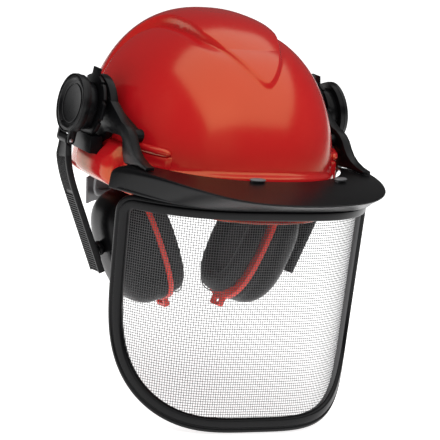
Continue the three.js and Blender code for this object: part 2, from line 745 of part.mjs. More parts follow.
// A point of the visor's face is named by its share of the way across (-1 to 1), height and lift.
function visorOut(share) {
  const slope = ((VISOR_PLAN.end - VISOR_PLAN.front) * VISOR_PLAN.bulge) / VISOR_PLAN.across;
  const lean = Math.sign(share) * slope * Math.abs(share) ** (VISOR_PLAN.bulge - 1);
  return new THREE.Vector3(lean, -1, 0).normalize();
}

function visorPoint(share, z, lift = 0) {
  const plan = { ...VISOR_PLAN, across: VISOR_PLAN.across + VISOR_TAPER * z };
  return bowPoint(plan, share, z).addScaledVector(visorOut(share), lift);
}

const visorTopZ = (share) => 3.6 - 2.6 * Math.abs(share) ** 3;
const SIDE_SHARE = 0.975; // the bead's middle line, where it runs down a side
const TOP_CORNER = 0.05;
const BOTTOM_STEPS = 26;

// The bead's middle line as (share, z), once round the visor.
function beadLine() {
  const bottom = turns(-Math.PI / 2, Math.PI / 2, BOTTOM_STEPS).map((turn) => {
    const share = power(Math.sin(turn), 2 / VISOR_CORNER_ROUND);
    const rise = 1 - Math.max(0, Math.cos(turn)) ** (2 / VISOR_CORNER_ROUND);
    return [SIDE_SHARE * share, VISOR_BOTTOM_Z + VISOR_CORNER_RISE * rise];
  });
  const sideStart = VISOR_BOTTOM_Z + VISOR_CORNER_RISE;
  const sideEnd = visorTopZ(1) - 12;
  const side = turns(0, 1, 3).slice(1).map((t) => THREE.MathUtils.lerp(sideStart, sideEnd, t));
  const corner = turns(0, Math.PI / 2, 3).slice(1);
  const top = turns(1 - TOP_CORNER, -1 + TOP_CORNER, 16).map((s) => [SIDE_SHARE * s, visorTopZ(s)]);
  const cornerPoint = (end) => (turn) => [
    end * SIDE_SHARE * (1 - TOP_CORNER * (1 - Math.cos(turn))),
    sideEnd + (visorTopZ(1) - sideEnd) * Math.sin(turn),
  ];
  return [
    ...bottom,
    ...side.map((z) => [SIDE_SHARE, z]),
    ...corner.slice(0, -1).map(cornerPoint(1)),
    ...top,
    ...corner.slice(0, -1).reverse().map(cornerPoint(-1)),
    ...side.reverse().map((z) => [-SIDE_SHARE, z]),
  ];
}

// The bead's section as [outwards from the face, away from the mesh], with the groove the mesh sits in.
const BEAD_SECTION = [
  [-BEAD_DEPTH / 2, -BEAD_WIDTH / 2 + 1],
  [-1.2, -BEAD_WIDTH / 2],
  [-1.2, -1],
  [1.2, -1],
  [1.2, -BEAD_WIDTH / 2],
  [BEAD_DEPTH / 2, -BEAD_WIDTH / 2 + 1],
  [BEAD_DEPTH / 2, BEAD_WIDTH / 2 - 2.5],
  [BEAD_DEPTH / 2 - 1.5, BEAD_WIDTH / 2],
  [-BEAD_DEPTH / 2 + 1.5, BEAD_WIDTH / 2],
  [-BEAD_DEPTH / 2, BEAD_WIDTH / 2 - 2.5],
];

function visorFrame() {
  const line = beadLine();
  const points = line.map(([share, z]) => visorPoint(share, z));
  const frames = points.map((at, i) => {
    const out = visorOut(line[i][0]);
    const before = points[(i + points.length - 1) % points.length];
    const after = points[(i + 1) % points.length];
    const along = new THREE.Vector3().subVectors(after, before).normalize();
    return { at, u: out, v: new THREE.Vector3().crossVectors(along, out).normalize() };
  });
  return sweep(frames, BEAD_SECTION, true);
}

// The wire mesh as a thin curved sheet whose edge lies in the bead's groove.
function visorMesh() {
  const reach = SIDE_SHARE - 0.65 * (MESH_INSET / VISOR_PLAN.across);
  const bottomZ = (x) => {
    const rise = 1 - Math.max(0, 1 - Math.abs(x) ** VISOR_CORNER_ROUND) ** (1 / VISOR_CORNER_ROUND);
    return VISOR_BOTTOM_Z + MESH_INSET + VISOR_CORNER_RISE * rise;
  };
  const columns = turns(-Math.PI / 2, Math.PI / 2, BOTTOM_STEPS).map((turn) => {
    const x = power(Math.sin(turn), 2 / VISOR_CORNER_ROUND);
    const share = x * reach;
    const low = visorPoint(share, bottomZ(x));
    const high = visorPoint(share, visorTopZ(x) - MESH_INSET);
    const face = (side) => turns(0, 1, 6).map((t) => {
      const z = THREE.MathUtils.lerp(low.z, high.z, t);
      return visorPoint(share, z, (side * MESH_THICKNESS) / 2);
    });
    return [...face(1), ...face(-1).reverse()];
  });
  return loft(columns);
}

// The clips that hang the visor frame from the guard, each at a share of the way round.
const CLIP_PLACES = { centre: -0.17, left: 0.57 };
const CLIP_INSET = -BEAD_DEPTH / 2 - 1.6; // a clip is flat, so its leg stands clear of the curved bead

function clipFrame(share) {
  const at = visorPoint(share, 0, CLIP_INSET);
  const out = visorOut(share);
  const along = new THREE.Vector3().crossVectors(out, new THREE.Vector3(0, 0, 1));
  return new THREE.Matrix4().makeBasis(along, out, new THREE.Vector3(0, 0, 1)).setPosition(at);
}

const onClip = (share, body) => solid(geometryOf(body).applyMatrix4(clipFrame(share)));
const clipSlot = (share) => onClip(share, box([-6.8, 6.8], [-2.7 - GAP, GAP], [20, 40]));

function guardClip(share) {
  const leg = box([-6.5, 6.5], [-2.7, 0], [4, 32.4]);
  const head = box([-8, 8], [-6, 3.5], [31.6, 33.2]);
  return onClip(share, joined(leg, head));
}

// ---- Nape ratchet ----
function napeYoke() {
  const { halfWidth, front, back, z, halfHeight } = YOKE;
  const housing = box([-halfWidth, halfWidth], [front, back], [z - halfHeight, z + halfHeight]);
  const tunnel = box([-40, 40], [front + 2.5, front + 7.5], [z - halfHeight + 3, z + halfHeight - 3]);
  const bore = barY(PINION_RADIUS + 1, [front + 5, back + 5], 0, z);
  const wings = [-1, 1].map((end) => {
    const curve = new THREE.QuadraticBezierCurve3(
      new THREE.Vector3(end * (halfWidth - 2), 113, z),
      new THREE.Vector3(end * 52, 113, z - 1),
      new THREE.Vector3(end * 64, 103, z - 4),
    );
    return sweep(framesAlong(curve.getPoints(5), new THREE.Vector3(0, 0, 1)), rectangle(26, 2));
  });
  return cut(joined(housing, ...wings), tunnel, bore);
}

function napePad() {
  return box([-19, 19], [YOKE.front - 6.5, YOKE.front - GAP], [YOKE.z - 13, YOKE.z + 13]);
}

function napePinion() {
  const { front, back, z } = YOKE;
  return barY(PINION_RADIUS - 0.1, [front + 3, back + GAP], 0, z);
}

function napeKnob() {
  const { back, z } = YOKE;
  const start = back + 2 * GAP;
  const radius = 15;
  const depth = 11;
  const knob = barY(radius, [start, start + depth], 0, z, 30);
  const flutes = fullTurn(10).map((turn) => {
    const x = (radius + 1) * Math.cos(turn);
    const up = (radius + 1) * Math.sin(turn);
    return barY(2, [start + 2, start + depth + 3], x, z + up, 6);
  });
  return cut(knob, ...flutes);
}

// The band on one side from inside the headband's end to its rack, which runs above or below the pinion.
function napeTail(side) {
  const { front, z } = YOKE;
  const rackZ = z + side * (PINION_RADIUS + 3.4);
  const y = front + 5;
  const curve = new THREE.CatmullRomCurve3([
    new THREE.Vector3(side * 70.6, 42, 18),
    new THREE.Vector3(side * 70.8, 62, 7),
    new THREE.Vector3(side * 64, 88, (rackZ - 4) / 2 - 2),
    new THREE.Vector3(side * 54, 101, rackZ + 2),
    new THREE.Vector3(side * 46.5, y - 0.4, rackZ),
  ]);
  const rack = [44, -8].map((x) => new THREE.Vector3(side * x, y, rackZ));
  const points = [...curve.getPoints(10), ...rack];
  return sweep(framesAlong(points, new THREE.Vector3(0, 0, 1)), rectangle(6, 1.8));
}

// ---- The helmet ----
function addSide(group, suffix) {
  const parts = [
    ["slot_adapter", slotAdapter(), BLACK],
    ["brace", brace(), BLACK],
    ["hub_axle", hubAxle(), GREY],
    ["visor_arm", visorArm(), BLACK],
    ["ear_drum", earDrum(), BLACK],
    ["hub_cap", hubCap(), BLACK],
    ["arm_pin", armPin(), GREY],
    ["ear_arm", earArm(), GREY],
    ["ear_slider", slider(), BLACK],
    ["cup_pivot", cupPivot(), BLACK],
    ["cup_shell", cupShell(), BLACK],
    ["cup_ring", cupRing(), RED],
    ["cushion", cushion(), CUSHION],
    ["cup_foam", cupFoam(), FOAM],
  ];
  parts.forEach(([name, body, material]) => addPart(group, `${name}_${suffix}`, body, material));
}

const helmet = new THREE.Group();
addPart(helmet, "shell", shell(), RED);
addPart(helmet, "headband", headband(), GREY);
addPart(helmet, "sweatband", sweatband(), CUSHION);
addPart(helmet, "cradle_strap_lower", cradleStrap(1, STRAP_TOP_Z), TEXTILE);
addPart(helmet, "cradle_strap_upper", cradleStrap(-1, STRAP_TOP_Z + 1.8), TEXTILE);
addPart(helmet, "crown_pad", crownPad(), CUSHION);
[
  ["front_left", 1, -1],
  ["front_right", -1, -1],
  ["rear_left", 1, 1],
  ["rear_right", -1, 1],
].forEach(([name, signX, signY]) => addPart(helmet, `anchor_clip_${name}`, anchorClip(signX, signY), GREY));

addPart(helmet, "brow_guard", browGuard(), BLACK);
addPart(helmet, "visor_frame", visorFrame(), BLACK);
addPart(helmet, "visor_mesh", visorMesh(), STEEL_MESH);
Object.entries(CLIP_PLACES).forEach(([name, place]) =>
  addPart(helmet, `guard_clip_${name}`, guardClip(place), GREY),
);

addPart(helmet, "nape_yoke", napeYoke(), GREY);
addPart(helmet, "nape_pad", napePad(), CUSHION);
addPart(helmet, "nape_pinion", napePinion(), BLACK);
addPart(helmet, "nape_knob", napeKnob(), BLACK);
addPart(helmet, "nape_tail_left", napeTail(1), GREY);
addPart(helmet, "nape_tail_right", napeTail(-1), GREY);

["left", "right"].forEach((name) => {
  const side = new THREE.Group();
  side.scale.x = name === "left" ? 1 : -1;
  addSide(side, name);
  helmet.add(side);
});

helmet.children.forEach((child) => {
  child.position.z -= CROWN_PAD_Z;
});

export default helmet;
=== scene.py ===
import json
import math

import bmesh
import bpy
import numpy as np
from mathutils import Matrix, Vector

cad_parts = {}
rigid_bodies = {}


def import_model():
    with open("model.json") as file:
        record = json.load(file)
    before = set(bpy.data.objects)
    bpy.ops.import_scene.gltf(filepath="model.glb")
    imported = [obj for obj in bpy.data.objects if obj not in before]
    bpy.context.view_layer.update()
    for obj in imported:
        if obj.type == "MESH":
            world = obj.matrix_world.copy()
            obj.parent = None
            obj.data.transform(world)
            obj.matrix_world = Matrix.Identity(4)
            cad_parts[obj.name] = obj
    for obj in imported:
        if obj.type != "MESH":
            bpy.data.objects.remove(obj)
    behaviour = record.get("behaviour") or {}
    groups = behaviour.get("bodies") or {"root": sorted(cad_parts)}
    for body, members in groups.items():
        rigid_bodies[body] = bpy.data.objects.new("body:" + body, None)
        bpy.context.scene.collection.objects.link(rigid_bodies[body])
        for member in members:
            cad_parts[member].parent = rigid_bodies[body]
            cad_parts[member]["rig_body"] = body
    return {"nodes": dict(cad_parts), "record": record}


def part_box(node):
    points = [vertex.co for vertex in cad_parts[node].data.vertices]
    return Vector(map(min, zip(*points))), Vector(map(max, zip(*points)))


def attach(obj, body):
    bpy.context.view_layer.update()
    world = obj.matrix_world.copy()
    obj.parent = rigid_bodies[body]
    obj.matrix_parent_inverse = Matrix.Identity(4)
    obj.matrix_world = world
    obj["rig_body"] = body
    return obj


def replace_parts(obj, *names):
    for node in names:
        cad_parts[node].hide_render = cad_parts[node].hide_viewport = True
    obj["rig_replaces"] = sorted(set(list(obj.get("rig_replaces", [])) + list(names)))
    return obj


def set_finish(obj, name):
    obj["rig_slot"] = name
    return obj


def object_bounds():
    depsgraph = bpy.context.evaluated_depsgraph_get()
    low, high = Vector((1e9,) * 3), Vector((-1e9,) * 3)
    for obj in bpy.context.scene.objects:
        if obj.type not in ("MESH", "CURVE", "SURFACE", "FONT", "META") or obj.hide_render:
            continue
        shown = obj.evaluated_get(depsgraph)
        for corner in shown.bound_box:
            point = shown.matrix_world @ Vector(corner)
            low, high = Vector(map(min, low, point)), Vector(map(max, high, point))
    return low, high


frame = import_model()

CAD_LOW, CAD_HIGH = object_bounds()
SCENE = bpy.context.scene
MM = 0.001
SIDES = {"left": 1, "right": -1}
RECORD = frame["record"]
NODE_SLOT = {row["node"]: row["material_slot"] for row in RECORD["subparts"]}
NODE_BODY = {node: body for body, nodes in RECORD["behaviour"]["bodies"].items() for node in nodes}

# ---- Driving dimensions: each group starts from the frame's boxes ----
HEADBAND_LOW, HEADBAND_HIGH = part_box("headband")
HEADBAND_BOTTOM = 5  # above the rim
RIM_HEIGHT = HEADBAND_LOW.z / MM - HEADBAND_BOTTOM  # the rim's height in the frame
BEAD_RADIUS = 1.6
SHELL_LOW, SHELL_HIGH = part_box("shell")
RIM_ALONG = (SHELL_HIGH.y - SHELL_LOW.y) / 2 / MM - 1.5

RIM = {"across": 106.3, "along": RIM_ALONG, "up": 1, "y": 0, "round": 2.4}
LOBES = {"across": 104, "along": 136, "up": 149.5, "y": 0, "round": 2.5}
CREST = {"across": 102, "along": 134.5, "up": 157.5, "y": 3, "round": 2.33}
WALL = 3
RIM_FRONT_DROP = 8.8
RIM_REAR_DROP = 8
LEDGE_SIDE_Z = 25
LEDGE_FRONT_RISE = 8.5
CREST_HALF_WIDTH = 38
CREST_TIP_Y = -108
CREST_SHOULDER_Y = -42
CREST_PROUD = 0.8
CREST_TIP_STEP = 3.0  # the least the crest stands off the dome, out to its tip
GROOVE_DEPTH = 3.4  # how far the dome sinks along the foot of the crest
GROOVE_RUN = 14
GROOVE_START_Y = -95  # the groove begins here, towards the crest's tip
GROOVE_FADE = 50
TIP_STEP_END_Y = 20  # the least step fades out by here, going back
TIP_STEP_FADE = 60
CREST_WALL_RUN = 4.0  # how far the crest's side slopes in plan


# ---- Materials ----
def node(tree, kind, **inputs):
    made = tree.nodes.new(kind)
    for name, value in inputs.items():
        made.inputs[name.replace("_", " ")].default_value = value
    return made


def material(name, color, roughness, grain=900, bump=0.05, spread=0.12, metallic=0.0, coat=0.0, shine=0.5):
    """A finish whose colour, roughness and height all vary; more grain makes its texture finer."""
    made = bpy.data.materials.new(name)
    made.use_nodes = True
    tree = made.node_tree
    shader = tree.nodes["Principled BSDF"]
    place = tree.nodes.new("ShaderNodeTexCoord")
    fine = node(tree, "ShaderNodeTexNoise", Scale=grain, Detail=4.0)
    broad = node(tree, "ShaderNodeTexNoise", Scale=18.0, Detail=5.0)
    for texture in (fine, broad):
        tree.links.new(place.outputs["Object"], texture.inputs["Vector"])

    tone = node(tree, "ShaderNodeMapRange")
    tone.inputs["To Min"].default_value = 1 - spread
    tone.inputs["To Max"].default_value = 1 + spread
    tree.links.new(broad.outputs["Fac"], tone.inputs["Value"])
    shade = node(tree, "ShaderNodeVectorMath")
    shade.operation = "SCALE"
    shade.inputs[0].default_value = color
    tree.links.new(tone.outputs["Result"], shade.inputs["Scale"])
    tree.links.new(shade.outputs["Vector"], shader.inputs["Base Color"])

    rough = node(tree, "ShaderNodeMapRange")
    rough.inputs["To Min"].default_value = max(0.02, roughness - 0.08)
    rough.inputs["To Max"].default_value = min(1.0, roughness + 0.08)
    tree.links.new(fine.outputs["Fac"], rough.inputs["Value"])
    tree.links.new(rough.outputs["Result"], shader.inputs["Roughness"])

    height = node(tree, "ShaderNodeBump", Strength=bump, Distance=0.0004)
    tree.links.new(fine.outputs["Fac"], height.inputs["Height"])
    tree.links.new(height.outputs["Normal"], shader.inputs["Normal"])
    shader.inputs["Metallic"].default_value = metallic
    shader.inputs["Specular IOR Level"].default_value = shine
    shader.inputs["Coat Weight"].default_value = coat
    shader.inputs["Coat Roughness"].default_value = 0.06
    return made


def woven(name, color, threads):
    """A fabric: two crossed sets of fine ridges raise the cloth where threads meet."""
    made = material(name, color, 0.85, grain=2500, bump=0.3)
    tree = made.node_tree
    shader = tree.nodes["Principled BSDF"]
    place = tree.nodes.new("ShaderNodeTexCoord")
    heights = []
    for direction in ("X", "Z"):
        wave = node(tree, "ShaderNodeTexWave", Scale=threads, Distortion=0.6)
        wave.bands_direction = direction
        tree.links.new(place.outputs["Object"], wave.inputs["Vector"])
        heights.append(wave.outputs["Fac"])
    weave = tree.nodes.new("ShaderNodeMath")
    weave.operation = "MULTIPLY"
    tree.links.new(heights[0], weave.inputs[0])
    tree.links.new(heights[1], weave.inputs[1])
    height = node(tree, "ShaderNodeBump", Strength=0.6, Distance=0.0006)
    tree.links.new(weave.outputs[0], height.inputs["Height"])
    tree.links.new(height.outputs["Normal"], shader.inputs["Normal"])
    return made


LOOKS = {
    "red_shell": material("red_shell", (0.46, 0.007, 0.011), 0.2, 350, 0.015, 0.04, shine=1.0),
    "grey_plastic": material("grey_plastic", (0.12, 0.12, 0.125), 0.4, 1500, 0.15),
    "padding": woven("padding", (0.035, 0.035, 0.038), 500),
    "webbing": woven("webbing", (0.045, 0.047, 0.055), 260),
    "black_plastic": material("black_plastic", (0.003, 0.003, 0.0034), 0.3, 1600, 0.12, shine=0.16),
    "rubber_edge": material("rubber_edge", (0.003, 0.003, 0.0034), 0.3, 1200, 0.1, shine=0.2),
    "wire_mesh": material("wire_mesh", (0.06, 0.06, 0.062), 0.5, 2000, 0.05),
    "arm_plastic": material("arm_plastic", (0.007, 0.007, 0.0075), 0.34, 1500, 0.15, shine=0.22),
    "steel_pin": material("steel_pin", (0.5, 0.5, 0.52), 0.3, 1500, 0.05, metallic=1.0),
    "red_ring": material("red_ring", (0.85, 0.05, 0.03), 0.3, 800, 0.03, 0.05),
    "cushion_cover": material("cushion_cover", (0.006, 0.006, 0.007), 0.5, 420, 0.35, shine=0.3),
    "foam": material("foam", (0.016, 0.016, 0.017), 0.95, 700, 0.9),
}

SHELL_SHADER = LOOKS["red_shell"].node_tree.nodes["Principled BSDF"]
SHELL_SHADER.inputs["Specular Tint"].default_value = (1, 0.85, 0.35, 1)  # reflections lean to orange


# ---- Mesh helpers: points are arrays of (x, y, z) ----
def piece(name, points, faces, body, slot, stands_for=(), sharp=35):
    """A named mesh that rides on a CAD body and, where given, stands for CAD nodes."""
    data = bpy.data.meshes.new(name)
    placed = (np.asarray(points, float).reshape(-1, 3) + [0, 0, RIM_HEIGHT]) * MM
    data.from_pydata(placed.tolist(), [], faces)
    made = bpy.data.objects.new(name, data)
    SCENE.collection.objects.link(made)
    shape = bmesh.new()
    shape.from_mesh(data)
    bmesh.ops.remove_doubles(shape, verts=shape.verts, dist=1e-7)
    bmesh.ops.recalc_face_normals(shape, faces=shape.faces)
    shape.to_mesh(data)
    shape.free()
    return dress(made, body, slot, stands_for, sharp)


def dress(made, body, slot, stands_for=(), sharp=35):
    data = made.data
    data.materials.clear()
    data.materials.append(LOOKS[slot])
    data.polygons.foreach_set("use_smooth", [True] * len(data.polygons))
    data.set_sharp_from_angle(angle=math.radians(sharp))
    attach(made, body)
    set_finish(made, slot)
    if stands_for:
        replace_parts(made, *stands_for)
    return made


def lofted(rings, loop=False):
    """Points and faces of a closed skin through rings of points, capped at both ends unless it loops."""
    rings = np.asarray(rings, float)
    count, size, _ = rings.shape
    faces = []
    for i in range(count if loop else count - 1):
        here, there = i * size, (i + 1) % count * size
        for j in range(size):
            k = (j + 1) % size
            faces.append((here + j, there + j, there + k, here + k))
    if not loop:
        faces.append(tuple(range(size)))
        faces.append(tuple((count - 1) * size + j for j in reversed(range(size))))
    return rings.reshape(-1, 3), faces


def slab(front, back):
    """Points and faces of a closed skin from two grids that face away from each other."""
    front, back = np.asarray(front, float), np.asarray(back, float)
    rings = np.concatenate([front, back[:, ::-1]], axis=1)
    return lofted(rings)


def joined(*skins):
    """Several skins of points and faces as one."""
    points, faces, start = [], [], 0
    for some, their_faces in skins:
        points.append(some)
        faces += [tuple(start + i for i in face) for face in their_faces]
        start += len(some)
    return np.concatenate(points), faces


def unit(v):
    v = np.asarray(v, float)
    return v / np.linalg.norm(v, axis=-1, keepdims=True)


def rounded(corners, radii, steps=4, closed=True):
    """A polyline of corners (each an array, so many lines can be rounded at once) with curved corners."""
    corners = [np.asarray(c, float) for c in corners]
    out = []
    for i, corner in enumerate(corners):
        if not closed and i in (0, len(corners) - 1):
            out.append(corner)
            continue
        radius = radii[i]
        before, after = corners[i - 1], corners[(i + 1) % len(corners)]
        reach_in = np.linalg.norm(before - corner, axis=-1, keepdims=True)
        reach_out = np.linalg.norm(after - corner, axis=-1, keepdims=True)
        start = corner + (before - corner) * np.minimum(radius / reach_in, 0.48)
        end = corner + (after - corner) * np.minimum(radius / reach_out, 0.48)
        for t in np.linspace(0, 1, steps):
            out.append(start * (1 - t) ** 2 + 2 * corner * t * (1 - t) + end * t**2)
    return out


def frames_along(points, lean, loop=False):
    """At each point: the direction nearest lean that is square to the path, and the one square to both."""
    if loop:
        along = unit(np.roll(points, -1, 0) - np.roll(points, 1, 0))
    else:
        along = unit(np.gradient(points, axis=0))
    lean = np.broadcast_to(np.asarray(lean, float), points.shape)
    u = unit(lean - along * np.sum(lean * along, axis=1, keepdims=True))
    return u, np.cross(along, u)


def swept(points, lean, section, loop=False):
    """A section of (along lean, square to it) offsets carried along points."""
    points = np.asarray(points, float)
    u, v = frames_along(points, lean, loop)
    section = np.asarray(section, float)
    rings = points[:, None] + section[None, :, :1] * u[:, None] + section[None, :, 1:] * v[:, None]
    return lofted(rings, loop)


def round_bar(width, height, corner, steps=4):
    x, y = width / 2, height / 2
    return np.array(rounded([(-x, -y), (x, -y), (x, y), (-x, y)], [corner] * 4, steps))


def circle(radius, count):
    turn = np.linspace(0, 2 * math.pi, count, endpoint=False)
    return np.stack([radius * np.cos(turn), radius * np.sin(turn)], 1)


def power(value, exponent):
    return np.sign(value) * np.abs(value) ** exponent


def plan_point(oval, turn, z, grow=0.0):
    """A point of a rounded plan oval; turn is 0 at the front and grows to the wearer's left."""
    x = (oval["across"] + grow) * power(np.sin(turn), 2 / oval["round"])
    y = oval["y"] - (oval["along"] + grow) * power(np.cos(turn), 2 / oval["round"])
    return np.stack(np.broadcast_arrays(x, y, z), -1).astype(float)


def smooth(value):
    value = np.clip(value, 0, 1)
    return value * value * (3 - 2 * value)


def refine(node_name, bevel=0.5, sharp=30):
    """A copy of a CAD node with its edges rounded, which stands for it."""
    shape = bmesh.new()
    shape.from_mesh(frame["nodes"][node_name].data)
    bmesh.ops.remove_doubles(shape, verts=shape.verts, dist=1e-5)
    bmesh.ops.dissolve_limit(
        shape, angle_limit=math.radians(1), verts=shape.verts, edges=shape.edges
    )
    edges = [e for e in shape.edges if e.is_manifold and e.calc_face_angle() > math.radians(sharp)]
    bmesh.ops.bevel(
        shape, geom=edges, offset=bevel * MM, segments=2, profile=0.5, affect="EDGES", clamp_overlap=True
    )
    data = bpy.data.meshes.new("fine_" + node_name)
    shape.to_mesh(data)
    shape.free()
    made = bpy.data.objects.new("fine_" + node_name, data)
    SCENE.collection.objects.link(made)
    return dress(made, NODE_BODY[node_name], NODE_SLOT[node_name], [node_name], sharp)


def boolean(made, tool_skin, operation):
    """Adds or takes away a closed skin from a piece."""
    tool = piece("tool", *tool_skin, made["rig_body"], made["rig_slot"])
    change = made.modifiers.new("cut", "BOOLEAN")
    change.operation = operation
    change.solver = "MANIFOLD"
    change.object = tool
    apply_modifiers(made)
    bpy.data.objects.remove(tool)
    made.data.set_sharp_from_angle(angle=math.radians(35))


def apply_modifiers(made):
    depsgraph = bpy.context.evaluated_depsgraph_get()
    solved = bpy.data.meshes.new_from_object(made.evaluated_get(depsgraph))
    made.modifiers.clear()
    made.data = solved


def box_skin(x, y, z):
    ring = [(x[0], y[0]), (x[1], y[0]), (x[1], y[1]), (x[0], y[1])]
    return lofted([[(a, b, height) for a, b in ring] for height in z])


# ---- Shell ----
SHELL_TURNS = 420
NEAR_TOP = math.pi / 2 * 0.998
DOME_ROWS = 175


def rim_z(y):
    share = (y / RIM["along"]) ** 2
    return np.where(y < 0, -RIM_FRONT_DROP, -RIM_REAR_DROP) * share


def ledge_z(turn):
    return LEDGE_SIDE_Z + LEDGE_FRONT_RISE * np.maximum(0, np.cos(turn)) ** 2


def ray_length(surface, directions, grow=0.0):
    """How far each direction from the rim's centre runs before it meets a rounded dome."""
    half = np.array([surface["across"] + grow, surface["along"] + grow, surface["up"] + grow])
    centre = np.array([0, surface["y"], 0])
    reach = np.sum(np.abs(directions / half) ** surface["round"], -1) ** (-1 / surface["round"])
    for _ in range(14):
        at = (directions * reach[..., None] - centre) / half
        reach = reach * np.sum(np.abs(at) ** surface["round"], -1) ** (-1 / surface["round"])
    return reach


def bezier(start, first, second, end, count=14):
    t = np.linspace(0, 1, count)[:, None]
    start, first, second, end = map(np.array, (start, first, second, end))
    return start * (1 - t) ** 3 + 3 * first * t * (1 - t) ** 2 + 3 * second * t * t * (1 - t) + end * t**3


def crest_edge():
    """Half of the crest's outline in plan, from its tip back to where it opens out over the rear."""
    half, tip, shoulder = CREST_HALF_WIDTH, CREST_TIP_Y, CREST_SHOULDER_Y
    tongue = bezier((0, tip), (0.4 * half, tip + 4), (0.8 * half, shoulder - 32), (half, shoulder))
    flare = bezier((half + 1, 5), (half + 2, 28), (half + 10, 46), (half + 38, 56))
    return np.concatenate([tongue, flare, [(130, 62)]])


def crest_distance(points):
    """How far each point lies inside the crest's outline in plan, negative outside it."""
    edge = crest_edge()
    flat = np.stack([np.abs(points[..., 0]), points[..., 1]], -1)
    half_width = np.interp(flat[..., 1], edge[:, 1], edge[:, 0])
    inside = (flat[..., 0] < half_width) & (flat[..., 1] > CREST_TIP_Y)
    nearest = np.full(flat.shape[:-1], 1e9)
    for start, end in zip(edge[:-1], edge[1:]):
        run = end - start
        t = np.clip((flat - start) @ run / (run @ run), 0, 1)
        nearest = np.minimum(nearest, np.linalg.norm(flat - start - t[..., None] * run, axis=-1))
    return np.where(inside, nearest, -nearest)


def dome_rows(turn, grow, count):
    """Rows of the crowned dome from the ledge to just short of the top."""
    low = (ledge_z(turn) + 3) / LOBES["up"]
    first = np.arcsin(low ** (LOBES["round"] / 2))
    rows = []
    for climb in np.linspace(0, 1, count):
        rise = first + (NEAR_TOP - first) * climb
        scale = np.cos(rise) ** (2 / LOBES["round"])
        base = plan_point(LOBES, turn, 0) * scale[:, None]
        base[:, 2] = LOBES["up"] * np.sin(rise) ** (2 / LOBES["round"])
        directions = unit(base)
        lobes = ray_length(LOBES, directions, grow)
        crest = ray_length(CREST, directions, grow)
        gap = crest_distance(base)
        share = smooth(gap / CREST_WALL_RUN + 0.5)
        foot = smooth(1 + gap / GROOVE_RUN) * smooth((base[:, 1] - GROOVE_START_Y) / GROOVE_FADE)
        lobes = lobes - GROOVE_DEPTH * foot
        least = CREST_TIP_STEP * smooth((TIP_STEP_END_Y - base[:, 1]) / TIP_STEP_FADE)
        reach = lobes + share * np.maximum(least, crest + CREST_PROUD - lobes)
        rows.append(directions * reach[:, None])
    return rows


def shell_skin():
    turn = np.linspace(0, 2 * math.pi, SHELL_TURNS, endpoint=False)
    ledge = ledge_z(turn)
    edge = plan_point(RIM, turn, 0)
    low = rim_z(edge[:, 1])
    bead = [
        plan_point(RIM, turn, low + BEAD_RADIUS * (1 + math.sin(a)), BEAD_RADIUS * math.cos(a))
        for a in np.radians(np.linspace(-90, 62, 7))
    ]
    wall_top = plan_point(RIM, turn, ledge - 1, -1.9)
    brim = rounded(
        [
            plan_point(RIM, turn, low + 3.6, 0),
            wall_top,
            plan_point(LOBES, turn, ledge + 0.8, -0.6),
            dome_rows(turn, 0, 2)[0],
        ],
        [0, 1.6, 1.2, 0],
        closed=False,
    )
    inside = [plan_point(LOBES, turn, height, -WALL) for height in (low, low + 12, ledge)]
    rows = dome_rows(turn, -WALL, 30)[::-1] + inside[::-1] + bead + brim + dome_rows(turn, 0, DOME_ROWS)[1:]
    return lofted(rows)


def dome_x(y, z, grow):
    """Half the dome's width at a height and a place along it."""
    power_of = LOBES["round"]
    left = 1 - np.abs(y / (LOBES["along"] + grow)) ** power_of - np.abs(z / (LOBES["up"] + grow)) ** power_of
    return (LOBES["across"] + grow) * np.maximum(left, 0) ** (1 / power_of)


def raised_patch(side, y_range, z_range, proud, edge):
    """A closed patch that stands proud of the dome's side and rounds into it at its edges."""
    y, z = np.meshgrid(np.linspace(*y_range, 90), np.linspace(*z_range, 40), indexing="ij")
    inset = np.minimum(np.minimum(y - y_range[0], y_range[1] - y), z_range[1] - z)
    lift = -0.8 + (proud + 0.8) * np.sqrt(1 - (1 - np.clip(inset / edge, 0, 1)) ** 2)
    front = np.stack([side * dome_x(y, z, lift), y, z], -1)
    back = np.stack([side * dome_x(y, z, -1.5), y, z], -1)
    return slab(front, back)


RIB = {"middle_y": -78, "half": 18, "z": 43.0, "radius": 3.9, "proud": 1.2}


def rib_skin(side):
    """A rounded finger on the side panel's top edge, beside the brow guard."""
    share = np.linspace(-1, 1, 40)
    y = RIB["middle_y"] + RIB["half"] * share
    line = np.stack([side * dome_x(y, RIB["z"], RIB["proud"]), y, np.full(len(y), RIB["z"])], 1)
    thickness = np.sqrt(1 - np.abs(share) ** 6) * RIB["radius"] + 0.05
    u, v = frames_along(line, (0, 0, 1))
    section = circle(1, 20)
    spread = thickness[:, None, None] * section[None]
    return lofted(line[:, None] + spread[..., :1] * u[:, None] + spread[..., 1:] * v[:, None])


def boss_skin(side):
    """The box the ear muff and visor plug into; its outer face slopes in towards the top."""
    plan = [(96, -50), (108, -46), (119, -40), (120.5, -2), (117, 28), (106, 34), (96, 34)]
    plan = np.array(rounded(plan, [1, 6, 9, 20, 7, 5, 1], 5))
    profile = np.array(
        rounded([(6, 3), (0, 8), (0, 25), (14, 40), (22, 42)], [0, 5, 8, 4, 0], 6, closed=False)
    )
    rings = []
    for inset, z in profile:
        shift = inset * np.clip((plan[:, 0] - 96) / 12, 0, 1)
        rings.append(np.stack([side * (plan[:, 0] - shift), plan[:, 1], np.full(len(plan), z)], -1))
    return lofted(rings)


BOSS_POCKET = ((103.2, 130), (-19.5, 29), (26, 60))


